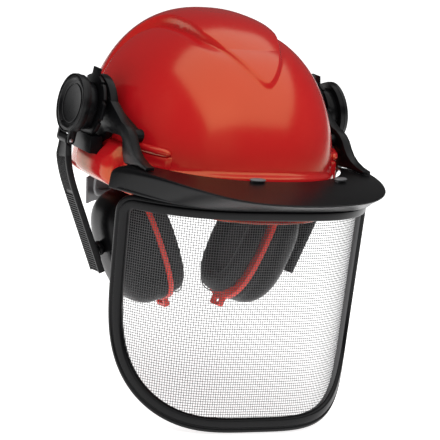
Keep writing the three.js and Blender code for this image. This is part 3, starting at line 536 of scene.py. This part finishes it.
def build_shell():
    piece("shell_outer", *shell_skin(), "helmet", "red_shell", ["shell"])
    for name, side in SIDES.items():
        x, y, z = BOSS_POCKET
        panel = raised_patch(side, (-97, 52), (6, 40.5), 3.2, 4)
        piece("shell_panel_" + name, *joined(panel, rib_skin(side)), "helmet", "red_shell")
        boss = piece("shell_boss_" + name, *boss_skin(side), "helmet", "red_shell")
        boolean(boss, box_skin((side * x[0], side * x[1]), y, z), "DIFFERENCE")


# ---- Brow guard ----
GUARD_EDGE = {"across": 128, "end": -74, "front": -208, "bulge": 4.8}
GUARD_LIP = {"across": 130.5, "end": -76, "front": -166, "bulge": 4.5}
GUARD_END_TURN = math.radians(64)
GUARD_FROM_RIM = 4
GUARD_WALL = 2.4
GUARD_LOW_Z = 8.4


def bow_point(plan, share, z):
    x = plan["across"] * share
    y = plan["front"] + (plan["end"] - plan["front"]) * np.abs(share) ** plan["bulge"]
    return np.stack(np.broadcast_arrays(x, y, z), -1).astype(float)


def guard_skin():
    share = np.sin(np.linspace(-math.pi / 2, math.pi / 2, 121))
    share = np.linspace(-1, 1, 121) * 0.5 + share * 0.5
    front = np.sqrt(np.maximum(0, 1 - share**2))
    top = 30 + front
    edge = 25 + 26 * front - 29.5 * front**2
    root = plan_point(RIM, share * GUARD_END_TURN, top, GUARD_FROM_RIM)
    brim = bow_point(GUARD_EDGE, share, edge)
    lip = bow_point(GUARD_LIP, share, GUARD_LOW_Z)
    to_root, to_lip = unit(root - brim), unit(lip - brim)
    cosine = np.sum(to_root * to_lip, axis=1, keepdims=True)
    half_sine = np.sqrt((1 - cosine) / 2)
    corners = [
        root,
        brim,
        lip,
        lip + unit(to_root - cosine * to_lip) * GUARD_WALL,
        brim + unit(to_root + to_lip) * GUARD_WALL / half_sine,
        root + unit(to_lip - cosine * to_root) * GUARD_WALL,
    ]
    rows = rounded(corners, [0.9, 6, 1, 0.7, 3, 0.9], 6)
    return lofted(np.stack(rows, 1))


BEAD_WIDTH = 13  # the visor frame's moulding
BEAD_DEPTH = 8
CLIP_PLACES = {"centre": -0.17, "left": 0.57}
CLIP_INSET = -BEAD_DEPTH / 2 - 1.6


def clip_skin(share):
    """A flat leg through the guard's slot under a low oval button."""
    along_row = np.linspace(0, 2 * math.pi, 40, endpoint=False)
    oval = np.stack([8 * np.cos(along_row), -1.2 + 4.4 * np.sin(along_row)], 1)
    button = [(0.9, 31.5), (1.0, 32.2), (0.92, 32.9), (0.7, 33.4), (0.3, 33.7)]
    rings = [[(x * scale, -1.2 + (y + 1.2) * scale, z) for x, y in oval] for scale, z in button]
    leg = box_skin((-6.5, 6.5), (-2.7, 0), (4, 32))
    at = visor_point(share, 0.0, CLIP_INSET)
    out = visor_out(share)
    along = np.cross(out, (0, 0, 1))
    placed = []
    for points, faces in (lofted(rings), leg):
        turned = at + points[:, :1] * along + points[:, 1:2] * out + points[:, 2:] * [0, 0, 1]
        placed.append((turned, faces))
    return joined(*placed)


def build_guard():
    for name, share in CLIP_PLACES.items():
        piece("clip_" + name, *clip_skin(share), "visor", "grey_plastic", ["guard_clip_" + name])
    piece("brow_guard_skin", *guard_skin(), "visor", "black_plastic", ["brow_guard"], sharp=50)
    share = np.linspace(-0.97, 0.97, 100)
    lip = bow_point(GUARD_LIP, share, GUARD_LOW_Z + 1.6)
    lip += unit(lip * [1, 1, 0]) * 0.6
    piece("brow_guard_lip", *swept(lip, (0, 0, 1), round_bar(2.2, 2.2, 0.9)), "visor", "arm_plastic")


# ---- Visor ----
VISOR_PLAN = {"across": 124.6, "end": -86, "front": -154, "bulge": 3.45}
VISOR_TAPER = 0.026
VISOR_BOTTOM_Z = -189.7
VISOR_CORNER_RISE = 147
VISOR_CORNER_ROUND = 4
SIDE_SHARE = 0.975
TOP_CORNER = 0.05
MESH_PITCH = 2.3
WIRE = 0.5
MESH_INSET = 4


def visor_top_z(share):
    return 3.6 - 2.6 * np.abs(share) ** 3


def visor_out(share):
    slope = (VISOR_PLAN["end"] - VISOR_PLAN["front"]) * VISOR_PLAN["bulge"] / VISOR_PLAN["across"]
    lean = np.sign(share) * slope * np.abs(share) ** (VISOR_PLAN["bulge"] - 1)
    return unit(np.stack(np.broadcast_arrays(lean, -1.0, 0.0), -1))


def visor_point(share, z, lift=0.0):
    plan = {**VISOR_PLAN, "across": VISOR_PLAN["across"] + VISOR_TAPER * z}
    return bow_point(plan, share, z) + visor_out(share) * np.asarray(lift)[..., None]


def bead_line():
    """The frame's middle line as (share, z), once round the visor."""
    turn = np.linspace(-math.pi / 2, math.pi / 2, 120)
    across = power(np.sin(turn), 2 / VISOR_CORNER_ROUND)
    rise = 1 - np.maximum(0, np.cos(turn)) ** (2 / VISOR_CORNER_ROUND)
    bottom = np.stack([SIDE_SHARE * across, VISOR_BOTTOM_Z + VISOR_CORNER_RISE * rise], 1)
    side_top = visor_top_z(1) - 12
    side_z = np.linspace(VISOR_BOTTOM_Z + VISOR_CORNER_RISE, side_top, 8)[1:]
    side = np.stack([np.full(len(side_z), SIDE_SHARE), side_z], 1)
    bend = np.linspace(0, math.pi / 2, 9)[1:-1]
    corner = np.stack(
        [
            SIDE_SHARE * (1 - TOP_CORNER * (1 - np.cos(bend))),
            side_top + (visor_top_z(1) - side_top) * np.sin(bend),
        ],
        1,
    )
    across_top = np.linspace(1 - TOP_CORNER, -1 + TOP_CORNER, 90)
    top = np.stack([SIDE_SHARE * across_top, visor_top_z(across_top)], 1)
    flip = np.array([-1, 1])
    return np.concatenate([bottom, side, corner, top, corner[::-1] * flip, side[::-1] * flip])


def frame_skin():
    line = bead_line()
    points = visor_point(line[:, 0], line[:, 1])
    width, depth = BEAD_WIDTH / 2, BEAD_DEPTH / 2
    section = rounded(
        [
            (-depth, -width + 1),
            (-1.2, -width),
            (1.2, -width),
            (depth, -width + 1),
            (depth, width - 5.4),
            (depth - 1.3, width - 4.6),
            (depth - 1.3, width - 3.4),
            (depth, width - 2.6),
            (depth - 1, width),
            (-depth + 1.5, width),
            (-depth, width - 2.5),
        ],
        [1, 0.3, 0.3, 1, 0.5, 0.4, 0.4, 0.5, 1, 1, 1],
        3,
    )
    section = np.array(section)
    out = visor_out(line[:, 0])
    along = unit(np.roll(points, -1, 0) - np.roll(points, 1, 0))
    across = unit(np.cross(along, out))
    rings = points[:, None] + section[None, :, :1] * out[:, None] + section[None, :, 1:] * across[:, None]
    return lofted(rings, loop=True)


def mesh_skin():
    """Wires up and across the visor, each one a thin bar whose ends are held in the frame."""
    reach = SIDE_SHARE - 0.65 * MESH_INSET / VISOR_PLAN["across"]
    low_z = VISOR_BOTTOM_Z + MESH_INSET
    fine = np.linspace(-reach, reach, 2001)
    steps = np.linalg.norm(np.diff(visor_point(fine, 0.0), axis=0), axis=1)
    length = np.concatenate([[0], np.cumsum(steps)])
    section = circle(WIRE / 2, 4)
    wires = []
    for share in np.interp(np.arange(MESH_PITCH, length[-1], MESH_PITCH), length, fine):
        corner = 1 - (1 - np.abs(share / reach) ** VISOR_CORNER_ROUND) ** (1 / VISOR_CORNER_ROUND)
        ends = np.array([low_z + VISOR_CORNER_RISE * corner, visor_top_z(share) - MESH_INSET])
        line = visor_point(np.full(5, share), np.linspace(*ends, 5), 0.16)
        wires.append(swept(line, visor_out(share), section))
    for z in np.arange(low_z + MESH_PITCH / 2, visor_top_z(0) - MESH_INSET, MESH_PITCH):
        drop = np.clip((z - low_z) / VISOR_CORNER_RISE, 0, 1)
        end = reach * (1 - (1 - drop) ** VISOR_CORNER_ROUND) ** (1 / VISOR_CORNER_ROUND)
        share = np.linspace(-end, end, 71)
        wires.append(swept(visor_point(share, np.full(71, z), -0.16), (0, 0, 1), section))
    return joined(*wires)


def build_visor():
    piece("visor_rim", *frame_skin(), "visor", "rubber_edge", ["visor_frame"], sharp=40)
    piece("visor_wires", *mesh_skin(), "visor", "wire_mesh", ["visor_mesh"], sharp=60)


# ---- Hub and ear-muff axes ----
HUB = np.array([117.6, 6, 65.2])
CANT = math.radians(8)
ARM_PIN_DROP = 32.4
ARM_PIN_OUT = 15.8
CUP_CENTRE = np.array([53.5, -3.6, -56.8])
CUP_LEAN = math.radians(23.7)
CUP_PITCH = math.radians(4.3)
CUP = {"across": 38.5, "tall": 56, "round": 2.6}
CUP_DEPTH = 40
CUSHION_DEPTH = 17.5
RING_HALF = 2.4
ARM_OUT = 51.5

CUP_UP = np.array(
    [
        math.sin(CUP_LEAN) * math.cos(CUP_PITCH),
        math.sin(CUP_PITCH),
        math.cos(CUP_LEAN) * math.cos(CUP_PITCH),
    ]
)
CUP_OUT = unit(np.array([1, 0, 0]) - CUP_UP * CUP_UP[0])
CUP_BACK = np.cross(CUP_UP, CUP_OUT)
HUB_OUT = np.array([math.cos(CANT), 0, math.sin(CANT)])
HUB_UP = np.array([-math.sin(CANT), 0, math.cos(CANT)])


def at_cup(points, side):
    points = np.asarray(points, float)
    placed = CUP_CENTRE + points[..., :1] * CUP_OUT + points[..., 1:2] * CUP_BACK + points[..., 2:] * CUP_UP
    return placed * [side, 1, 1]


def at_hub(points, side):
    points = np.asarray(points, float)
    placed = HUB + points[..., :1] * HUB_OUT + points[..., 1:2] * [0, 1, 0] + points[..., 2:] * HUB_UP
    return placed * [side, 1, 1]


def cup_oval(x, scale, inset=0.0, count=96):
    turn = np.linspace(0, 2 * math.pi, count, endpoint=False)
    y = (CUP["across"] * scale - inset) * power(np.cos(turn), 2 / CUP["round"])
    z = (CUP["tall"] * scale - inset) * power(np.sin(turn), 2 / CUP["round"])
    return np.stack([np.full(count, x), y, z], 1)


def lathed(profile, side, place=at_hub, count=96):
    """A closed turned shape about the hub's axis from (radius, out) points."""
    turn = np.linspace(0, 2 * math.pi, count, endpoint=False)
    profile = np.asarray(profile, float)
    rings = [[(out, r * math.cos(t), r * math.sin(t)) for r, out in profile] for t in turn]
    return lofted(place(np.array(rings), side), loop=True)


# ---- Ear muffs ----
def cup_skin(side):
    """The cup: a shallow step above the seam ring, then a smooth bowl with a flattened outer face."""
    start = RING_HALF + 0.3
    steps = ((0, 0.86), (0, 0.995), (5, 1.0), (6, 0.985))
    rows = [cup_oval(start + out, scale) for out, scale in steps]
    for rise in np.linspace(0.09, 0.5 * math.pi * 0.985, 26):
        x = start + 6 + (CUP_DEPTH - start - 6) * math.sin(rise) ** 0.85
        rows.append(cup_oval(x, 0.985 * math.cos(rise) ** 0.6))
    hollow = [cup_oval(x, scale) for x, scale in ((30, 0.3), (28, 0.6), (18, 0.8), (start, 0.86))]
    return lofted(at_cup(np.array(hollow[:-1] + rows), side))


def ring_skin(side):
    section = rounded(
        [(-RING_HALF, 1), (RING_HALF, 1), (RING_HALF, 14), (-RING_HALF, 14)], [0.8, 0.8, 0.3, 0.3], 3
    )
    rows = [cup_oval(x, 1.03, inset - 1.2) for x, inset in section]
    return lofted(at_cup(np.array(rows), side).transpose(1, 0, 2), loop=True)


def tab_skin(side):
    bottom, top = -CUP["tall"] - 10, -CUP["tall"] + 1
    outer = np.array(rounded([(-9, top), (-9, bottom), (9, bottom), (9, top)], [1, 3, 3, 1], 5))
    slot = [(-5.5, bottom + 6.8), (-5.5, bottom + 3), (5.5, bottom + 3), (5.5, bottom + 6.8)]
    slot = np.array(rounded(slot, [1, 1, 1, 1], 5))
    rows = []
    for x, line in ((-RING_HALF, outer), (RING_HALF, outer), (RING_HALF, slot), (-RING_HALF, slot)):
        rows.append([(x, a, b) for a, b in line])
    return lofted(at_cup(np.array(rows), side), loop=True)


def cushion_skin(side, shrink=1.5):
    """The ear cushion's ring, thinner than its full depth by shrink to leave the cloth step some room."""
    depth = CUSHION_DEPTH - shrink
    section = rounded(
        [(-depth / 2, -8), (depth / 2, -8), (depth / 2, 8.6), (-depth / 2, 8.6)], [6, 3, 3, 7], 6
    )
    middle = -RING_HALF - 0.3 - CUSHION_DEPTH / 2
    line = cup_oval(middle, 1, 9.6, 96)
    out = unit(line * [0, 1, 1])
    rings = [[p + [x, 0, 0] + r * o for x, r in section] for p, o in zip(line, out)]
    return lofted(at_cup(np.array(rings), side), loop=True)


CLOTH_FRAMES = 20


def blown_up(made, limit, pressure=4.0, voxel=0.0045):
    """Remeshes a soft piece, settles it as cloth under pressure and subdivides it.

    The cloth moves no point by more than limit millimetres, and moves the ear cushions by only about a
    hundredth of one, so their shape is that of their ring. voxel is in metres.
    """
    remesh = made.modifiers.new("remesh", "REMESH")
    remesh.mode = "VOXEL"
    remesh.voxel_size = voxel
    apply_modifiers(made)
    data = made.data
    rest = np.array([v.co for v in data.vertices])
    cloth = made.modifiers.new("cloth", "CLOTH")
    cloth.settings.use_pressure = True
    cloth.settings.uniform_pressure_force = pressure
    cloth.settings.effector_weights.gravity = 0
    for step in range(1, CLOTH_FRAMES + 1):
        SCENE.frame_set(step)
    solved = made.evaluated_get(bpy.context.evaluated_depsgraph_get()).data
    moved = np.array([v.co for v in solved.vertices]) - rest
    far = np.linalg.norm(moved, axis=1, keepdims=True)
    moved *= np.minimum(1, limit * MM / np.maximum(far, 1e-9))
    made.modifiers.clear()
    data.vertices.foreach_set("co", (rest + moved).ravel())
    SCENE.frame_set(1)
    smoother = made.modifiers.new("subdivide", "SUBSURF")
    smoother.levels = smoother.render_levels = 1
    apply_modifiers(made)
    made.data.polygons.foreach_set("use_smooth", [True] * len(made.data.polygons))


def seam_skin(side, x, scale, radius=0.5):
    line = at_cup(cup_oval(x, scale), side)
    return swept(line, at_cup([1, 0, 0], side) - at_cup([0, 0, 0], side), circle(radius, 8), loop=True)


def lining_skin(side):
    """The soft disc inside the cushion's opening, bowed a little into the cup."""
    face = -RING_HALF - 0.3 - CUSHION_DEPTH * 0.45
    steps = ((0, 0.05), (0.3, 0.3), (1.2, 0.6), (3, 0.74), (5, 0.74), (5, 0.05))
    rows = [cup_oval(face + bow, scale, 0, 64) for bow, scale in steps]
    return lofted(at_cup(np.array(rows), side))


def build_cup(name, side):
    body = "ear_cup_" + name
    piece("ear_lining_" + name, *lining_skin(side), body, "foam")
    piece("cup_" + name, *cup_skin(side), body, "black_plastic", ["cup_shell_" + name], sharp=50)
    ring = joined(ring_skin(side), tab_skin(side))
    piece("cup_seam_ring_" + name, *ring, body, "red_ring", ["cup_ring_" + name])
    pad = piece("ear_cushion_" + name, *cushion_skin(side), body, "cushion_cover", ["cushion_" + name])
    blown_up(pad, 2.2)
    inner_seam = -RING_HALF - CUSHION_DEPTH * 0.55
    seam = seam_skin(side, inner_seam, 1.0)
    piece("cushion_seam_" + name, *seam, body, "cushion_cover")
    refine("cup_foam_" + name, 2)


# ---- Ear arm ----
ARM_TOP_WIDTH = 16
ARM_WIDTH = 22
ARM_THICKNESS = 6


def arm_line(side):
    """The arm's middle line from under the hub down to the tip beside the cup."""
    pin = at_hub([ARM_PIN_OUT, 0, -ARM_PIN_DROP], 1)
    top = pin + [0.1, -0.2, -2.5]
    upper = pin + [0.9, -1.6, -14]
    lower, tip, corner = (at_cup([ARM_OUT, 0, z], 1) for z in (72, -8, 94))
    t = np.linspace(0, 1, 24)[:, None]
    bend = upper * (1 - t) ** 2 + 2 * corner * t * (1 - t) + lower * t * t
    straight = lower + (tip - lower) * np.linspace(0, 1, 30)[1:, None]
    return np.concatenate([[top], bend, straight]) * [side, 1, 1]


def arm_skin(side):
    """A flat bar whose outer face has a raised rail along each edge and a groove between them."""
    line = arm_line(side)
    drop = line[0, 2] - line[:, 2]
    width = ARM_TOP_WIDTH + (ARM_WIDTH - ARM_TOP_WIDTH) * smooth(drop / 14)
    half, thick = ARM_WIDTH / 2, ARM_THICKNESS / 2
    groove = thick - 1.3
    section = rounded(
        [
            (-half, -thick * side),
            (half, -thick * side),
            (half, thick * side),
            (half - 1.4, thick * side),
            (half - 1.9, groove * side),
            (-half + 2.9, groove * side),
            (-half + 2.4, thick * side),
            (-half, thick * side),
        ],
        [1.2, 1.2, 0.8, 0.5, 0.4, 0.4, 0.5, 0.8],
        3,
    )
    section = np.array(section)
    u, v = frames_along(line, (0, 1, 0))
    across = section[None, :, :1] * (width / ARM_WIDTH)[:, None, None]
    return lofted(line[:, None] + across * u[:, None] + section[None, :, 1:] * v[:, None])


def arm_ribs(side):
    """Fine cross ribs in the lower part of the arm's groove and long ones in the upper part."""
    ribs = []
    low, high = -ARM_WIDTH / 2 + 2.7, ARM_WIDTH / 2 - 1.7
    for z in np.arange(-6, 70, 2.4):
        line = at_cup([[ARM_OUT + ARM_THICKNESS / 2 - 0.9, y, z] for y in (low, 0, high)], side)
        up = at_cup([0, 0, 1], side) - at_cup([0, 0, 0], side)
        ribs.append(swept(line, up, round_bar(1.1, 1.7, 0.4, 3)))
    line = arm_line(1)[3:24]
    u, v = frames_along(line, (0, 1, 0))
    for y in np.linspace(low + 1.5, high - 1.5, 6):
        ridge = (line + u * y + v * (ARM_THICKNESS / 2 - 0.9)) * [side, 1, 1]
        ribs.append(swept(ridge, (0, 1, 0), round_bar(1.2, 1.5, 0.4, 3)))
    return joined(*ribs)


def build_arm(name, side):
    body = "ear_arm_" + name
    piece("arm_bar_" + name, *arm_skin(side), body, "arm_plastic", ["ear_arm_" + name])
    piece("arm_ribs_" + name, *arm_ribs(side), body, "arm_plastic")
    knuckle = [(0, -8.6), (3.9, -8.6), (4.4, -8), (4.4, 8), (3.9, 8.6), (0, 8.6)]
    turn = np.linspace(0, 2 * math.pi, 32, endpoint=False)
    rings = [
        [(ARM_PIN_OUT + r * math.cos(t), y, -ARM_PIN_DROP + r * math.sin(t)) for t in turn]
        for r, y in knuckle[1:-1]
    ]
    piece("arm_knuckle_" + name, *lofted(at_hub(np.array(rings), side)), body, "arm_plastic")


# ---- Headband, straps and pads ----
HEADBAND = {
    "across": (HEADBAND_HIGH.x - HEADBAND_LOW.x) / 2 / MM - 1,
    "along": 100,
    "y": 0,
    "round": 2.2,
}
HEADBAND_HEIGHT = (HEADBAND_HIGH.z - HEADBAND_LOW.z) / MM
ANCHOR = np.array([62, 80])
STRAP_TOP = 126


def band_skin(oval, end, middle, section, count=140):
    turn = np.radians(np.linspace(-end, end, count))
    return swept(plan_point(oval, turn, middle), (0, 0, 1), section)


def strap_skin(lean, top):
    length = np.linalg.norm(ANCHOR)
    reach = length - 0.6
    foot = HEADBAND_BOTTOM + HEADBAND_HEIGHT - 3.2
    turn = np.linspace(-math.pi / 2, math.pi / 2, 90)
    share = power(np.sin(turn), 2 / 2.4) * reach / length
    rise = np.maximum(0, np.cos(turn)) ** (2 / 2.4)
    line = np.stack([lean * share * ANCHOR[0], share * ANCHOR[1], foot + (top - foot) * rise], 1)
    across = unit([ANCHOR[1], -lean * ANCHOR[0], 0])
    return swept(line, across, round_bar(20, 1.2, 0.5))


def build_inside():
    middle = HEADBAND_BOTTOM + HEADBAND_HEIGHT / 2
    section = round_bar(HEADBAND_HEIGHT, 2, 0.8)
    piece("band", *band_skin(HEADBAND, 115, middle, section), "helmet", "grey_plastic", ["headband"])
    inner = {**HEADBAND, "across": HEADBAND["across"] - 3.2, "along": HEADBAND["along"] - 3.2}
    pad_section = round_bar(HEADBAND_HEIGHT - 5, 3, 1.4)
    pad = piece(
        "sweat_pad", *band_skin(inner, 62, middle, pad_section, 90), "helmet", "padding", ["sweatband"]
    )
    blown_up(pad, 0.6, 2.0, 0.0025)
    for name, lean, top in (("lower", 1, STRAP_TOP), ("upper", -1, STRAP_TOP + 1.8)):
        piece("strap_" + name, *strap_skin(lean, top), "helmet", "webbing", ["cradle_strap_" + name])


BEVELS = {
    "crown_pad": 1.2,
    "nape_pad": 2.0,
    "nape_knob": 0.9,
    "nape_yoke": 1.0,
    "visor_arm": 1.1,
    "hub_cap": 0.6,
}
PAD_SWELL = {"crown_pad": 0.8, "nape_pad": 0.6}  # millimetres the cloth may swell each pad


def build_mechanism():
    """Every smaller moulded part keeps its solid's shape, with its edges rounded."""
    done = {n for made in bpy.data.objects for n in made.get("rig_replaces", [])}
    for name in sorted(set(frame["nodes"]) - done):
        base = name.replace("_left", "").replace("_right", "")
        made = refine(name, BEVELS.get(base, 0.4))
        if name in PAD_SWELL:
            blown_up(made, PAD_SWELL[name], 2.0, 0.0022)


def hub_detail(name, side):
    """Two fine turned rings on the hub's cap, the inner one set lower."""
    for index, radius in enumerate((24.2, 26.6)):
        half_section = [(-0.7, 16.6), (-0.3, 19.8), (0.3, 19.8), (0.7, 16.6)]
        profile = np.array([(radius + across, out) for across, out in half_section])
        if index == 0:
            profile -= [6.5, 0]
            profile[:, 1] -= 1.6
        piece(f"cap_ring_{index}_{name}", *lathed(profile, side), "ear_hub_" + name, "arm_plastic")


# ---- Stage: lengths are metres from here on, but AIM_BELOW_RIM and LENS are millimetres ----
AZIMUTH, ELEVATION, ROLL = (math.radians(a) for a in (-28.54, 11.43, 6.65))
DISTANCE = 2.81
FLOOR_GLOW = 0.8
FLOOR_GAP = 0.002
WORLD_LIGHT = 0.1
LENS = 248.3
AIM_BELOW_RIM = 30
AIM_RIGHT = 0.0221
AIM_DOWN = 0.0079
LAMPS = {  # place, size, energy, and whether surfaces mirror it
    "overhead": ((0.0, -0.5, 2.0), 4.6, 84, True),
    "front": ((-0.9, -2.0, 1.2), 1.8, 22, False),
    "left": ((2.2, -0.8, 1.0), 1.4, 9, False),
    "edge": ((-2.2, 0.6, 0.9), 0.9, 5, False),
}


def build_stage():
    bpy.ops.mesh.primitive_plane_add(size=12, location=(0, 0, CAD_LOW.z - FLOOR_GAP))
    floor = bpy.context.object
    floor.name = "floor"
    pale = material("floor", (0.9, 0.9, 0.9), 0.7, 60, 0.0, 0.01)
    shader = pale.node_tree.nodes["Principled BSDF"]
    shader.inputs["Emission Color"].default_value = (1, 1, 1, 1)
    shader.inputs["Emission Strength"].default_value = FLOOR_GLOW
    floor.data.materials.append(pale)

    world = bpy.data.worlds.new("studio")
    SCENE.world = world
    world.use_nodes = True
    tree = world.node_tree
    tree.nodes["Background"].inputs["Color"].default_value = (1, 1, 1, 1)
    tree.nodes["Background"].inputs["Strength"].default_value = WORLD_LIGHT
    seen = node(tree, "ShaderNodeBackground", Strength=1.0)
    mix = tree.nodes.new("ShaderNodeMixShader")
    path = tree.nodes.new("ShaderNodeLightPath")
    tree.links.new(path.outputs["Is Camera Ray"], mix.inputs[0])
    tree.links.new(tree.nodes["Background"].outputs[0], mix.inputs[1])
    tree.links.new(seen.outputs[0], mix.inputs[2])
    tree.links.new(mix.outputs[0], tree.nodes["World Output"].inputs["Surface"])
    seen.inputs["Color"].default_value = (1, 1, 1, 1)
    for name, (place, size, energy, reflected) in LAMPS.items():
        lamp = bpy.data.lights.new(name, "AREA")
        lamp.size = size
        lamp.energy = energy
        holder = bpy.data.objects.new(name, lamp)
        holder.location = place
        holder.visible_glossy = reflected
        holder.rotation_euler = (-Vector(place)).to_track_quat("-Z", "Y").to_euler()
        SCENE.collection.objects.link(holder)
    SCENE.view_settings.view_transform = "Standard"


def build_camera():
    back = Vector(
        (
            math.sin(AZIMUTH) * math.cos(ELEVATION),
            -math.cos(AZIMUTH) * math.cos(ELEVATION),
            math.sin(ELEVATION),
        )
    )
    level = Vector((math.cos(AZIMUTH), math.sin(AZIMUTH), 0))
    up = back.cross(level)
    right = level * math.cos(ROLL) + up * math.sin(ROLL)
    up = back.cross(right)
    aim = Vector((0, 0, RIM_HEIGHT - AIM_BELOW_RIM)) * MM + right * AIM_RIGHT - up * AIM_DOWN
    lens = bpy.data.cameras.new("camera")
    lens.lens = LENS
    camera = bpy.data.objects.new("camera", lens)
    turn = Matrix((right, up, back)).transposed().to_4x4()
    camera.matrix_world = Matrix.Translation(aim + back * DISTANCE) @ turn
    SCENE.collection.objects.link(camera)
    SCENE.camera = camera


build_shell()
build_guard()
build_visor()
for side_name, side_sign in SIDES.items():
    build_cup(side_name, side_sign)
    build_arm(side_name, side_sign)
    hub_detail(side_name, side_sign)
build_inside()
build_mechanism()
build_stage()
build_camera()
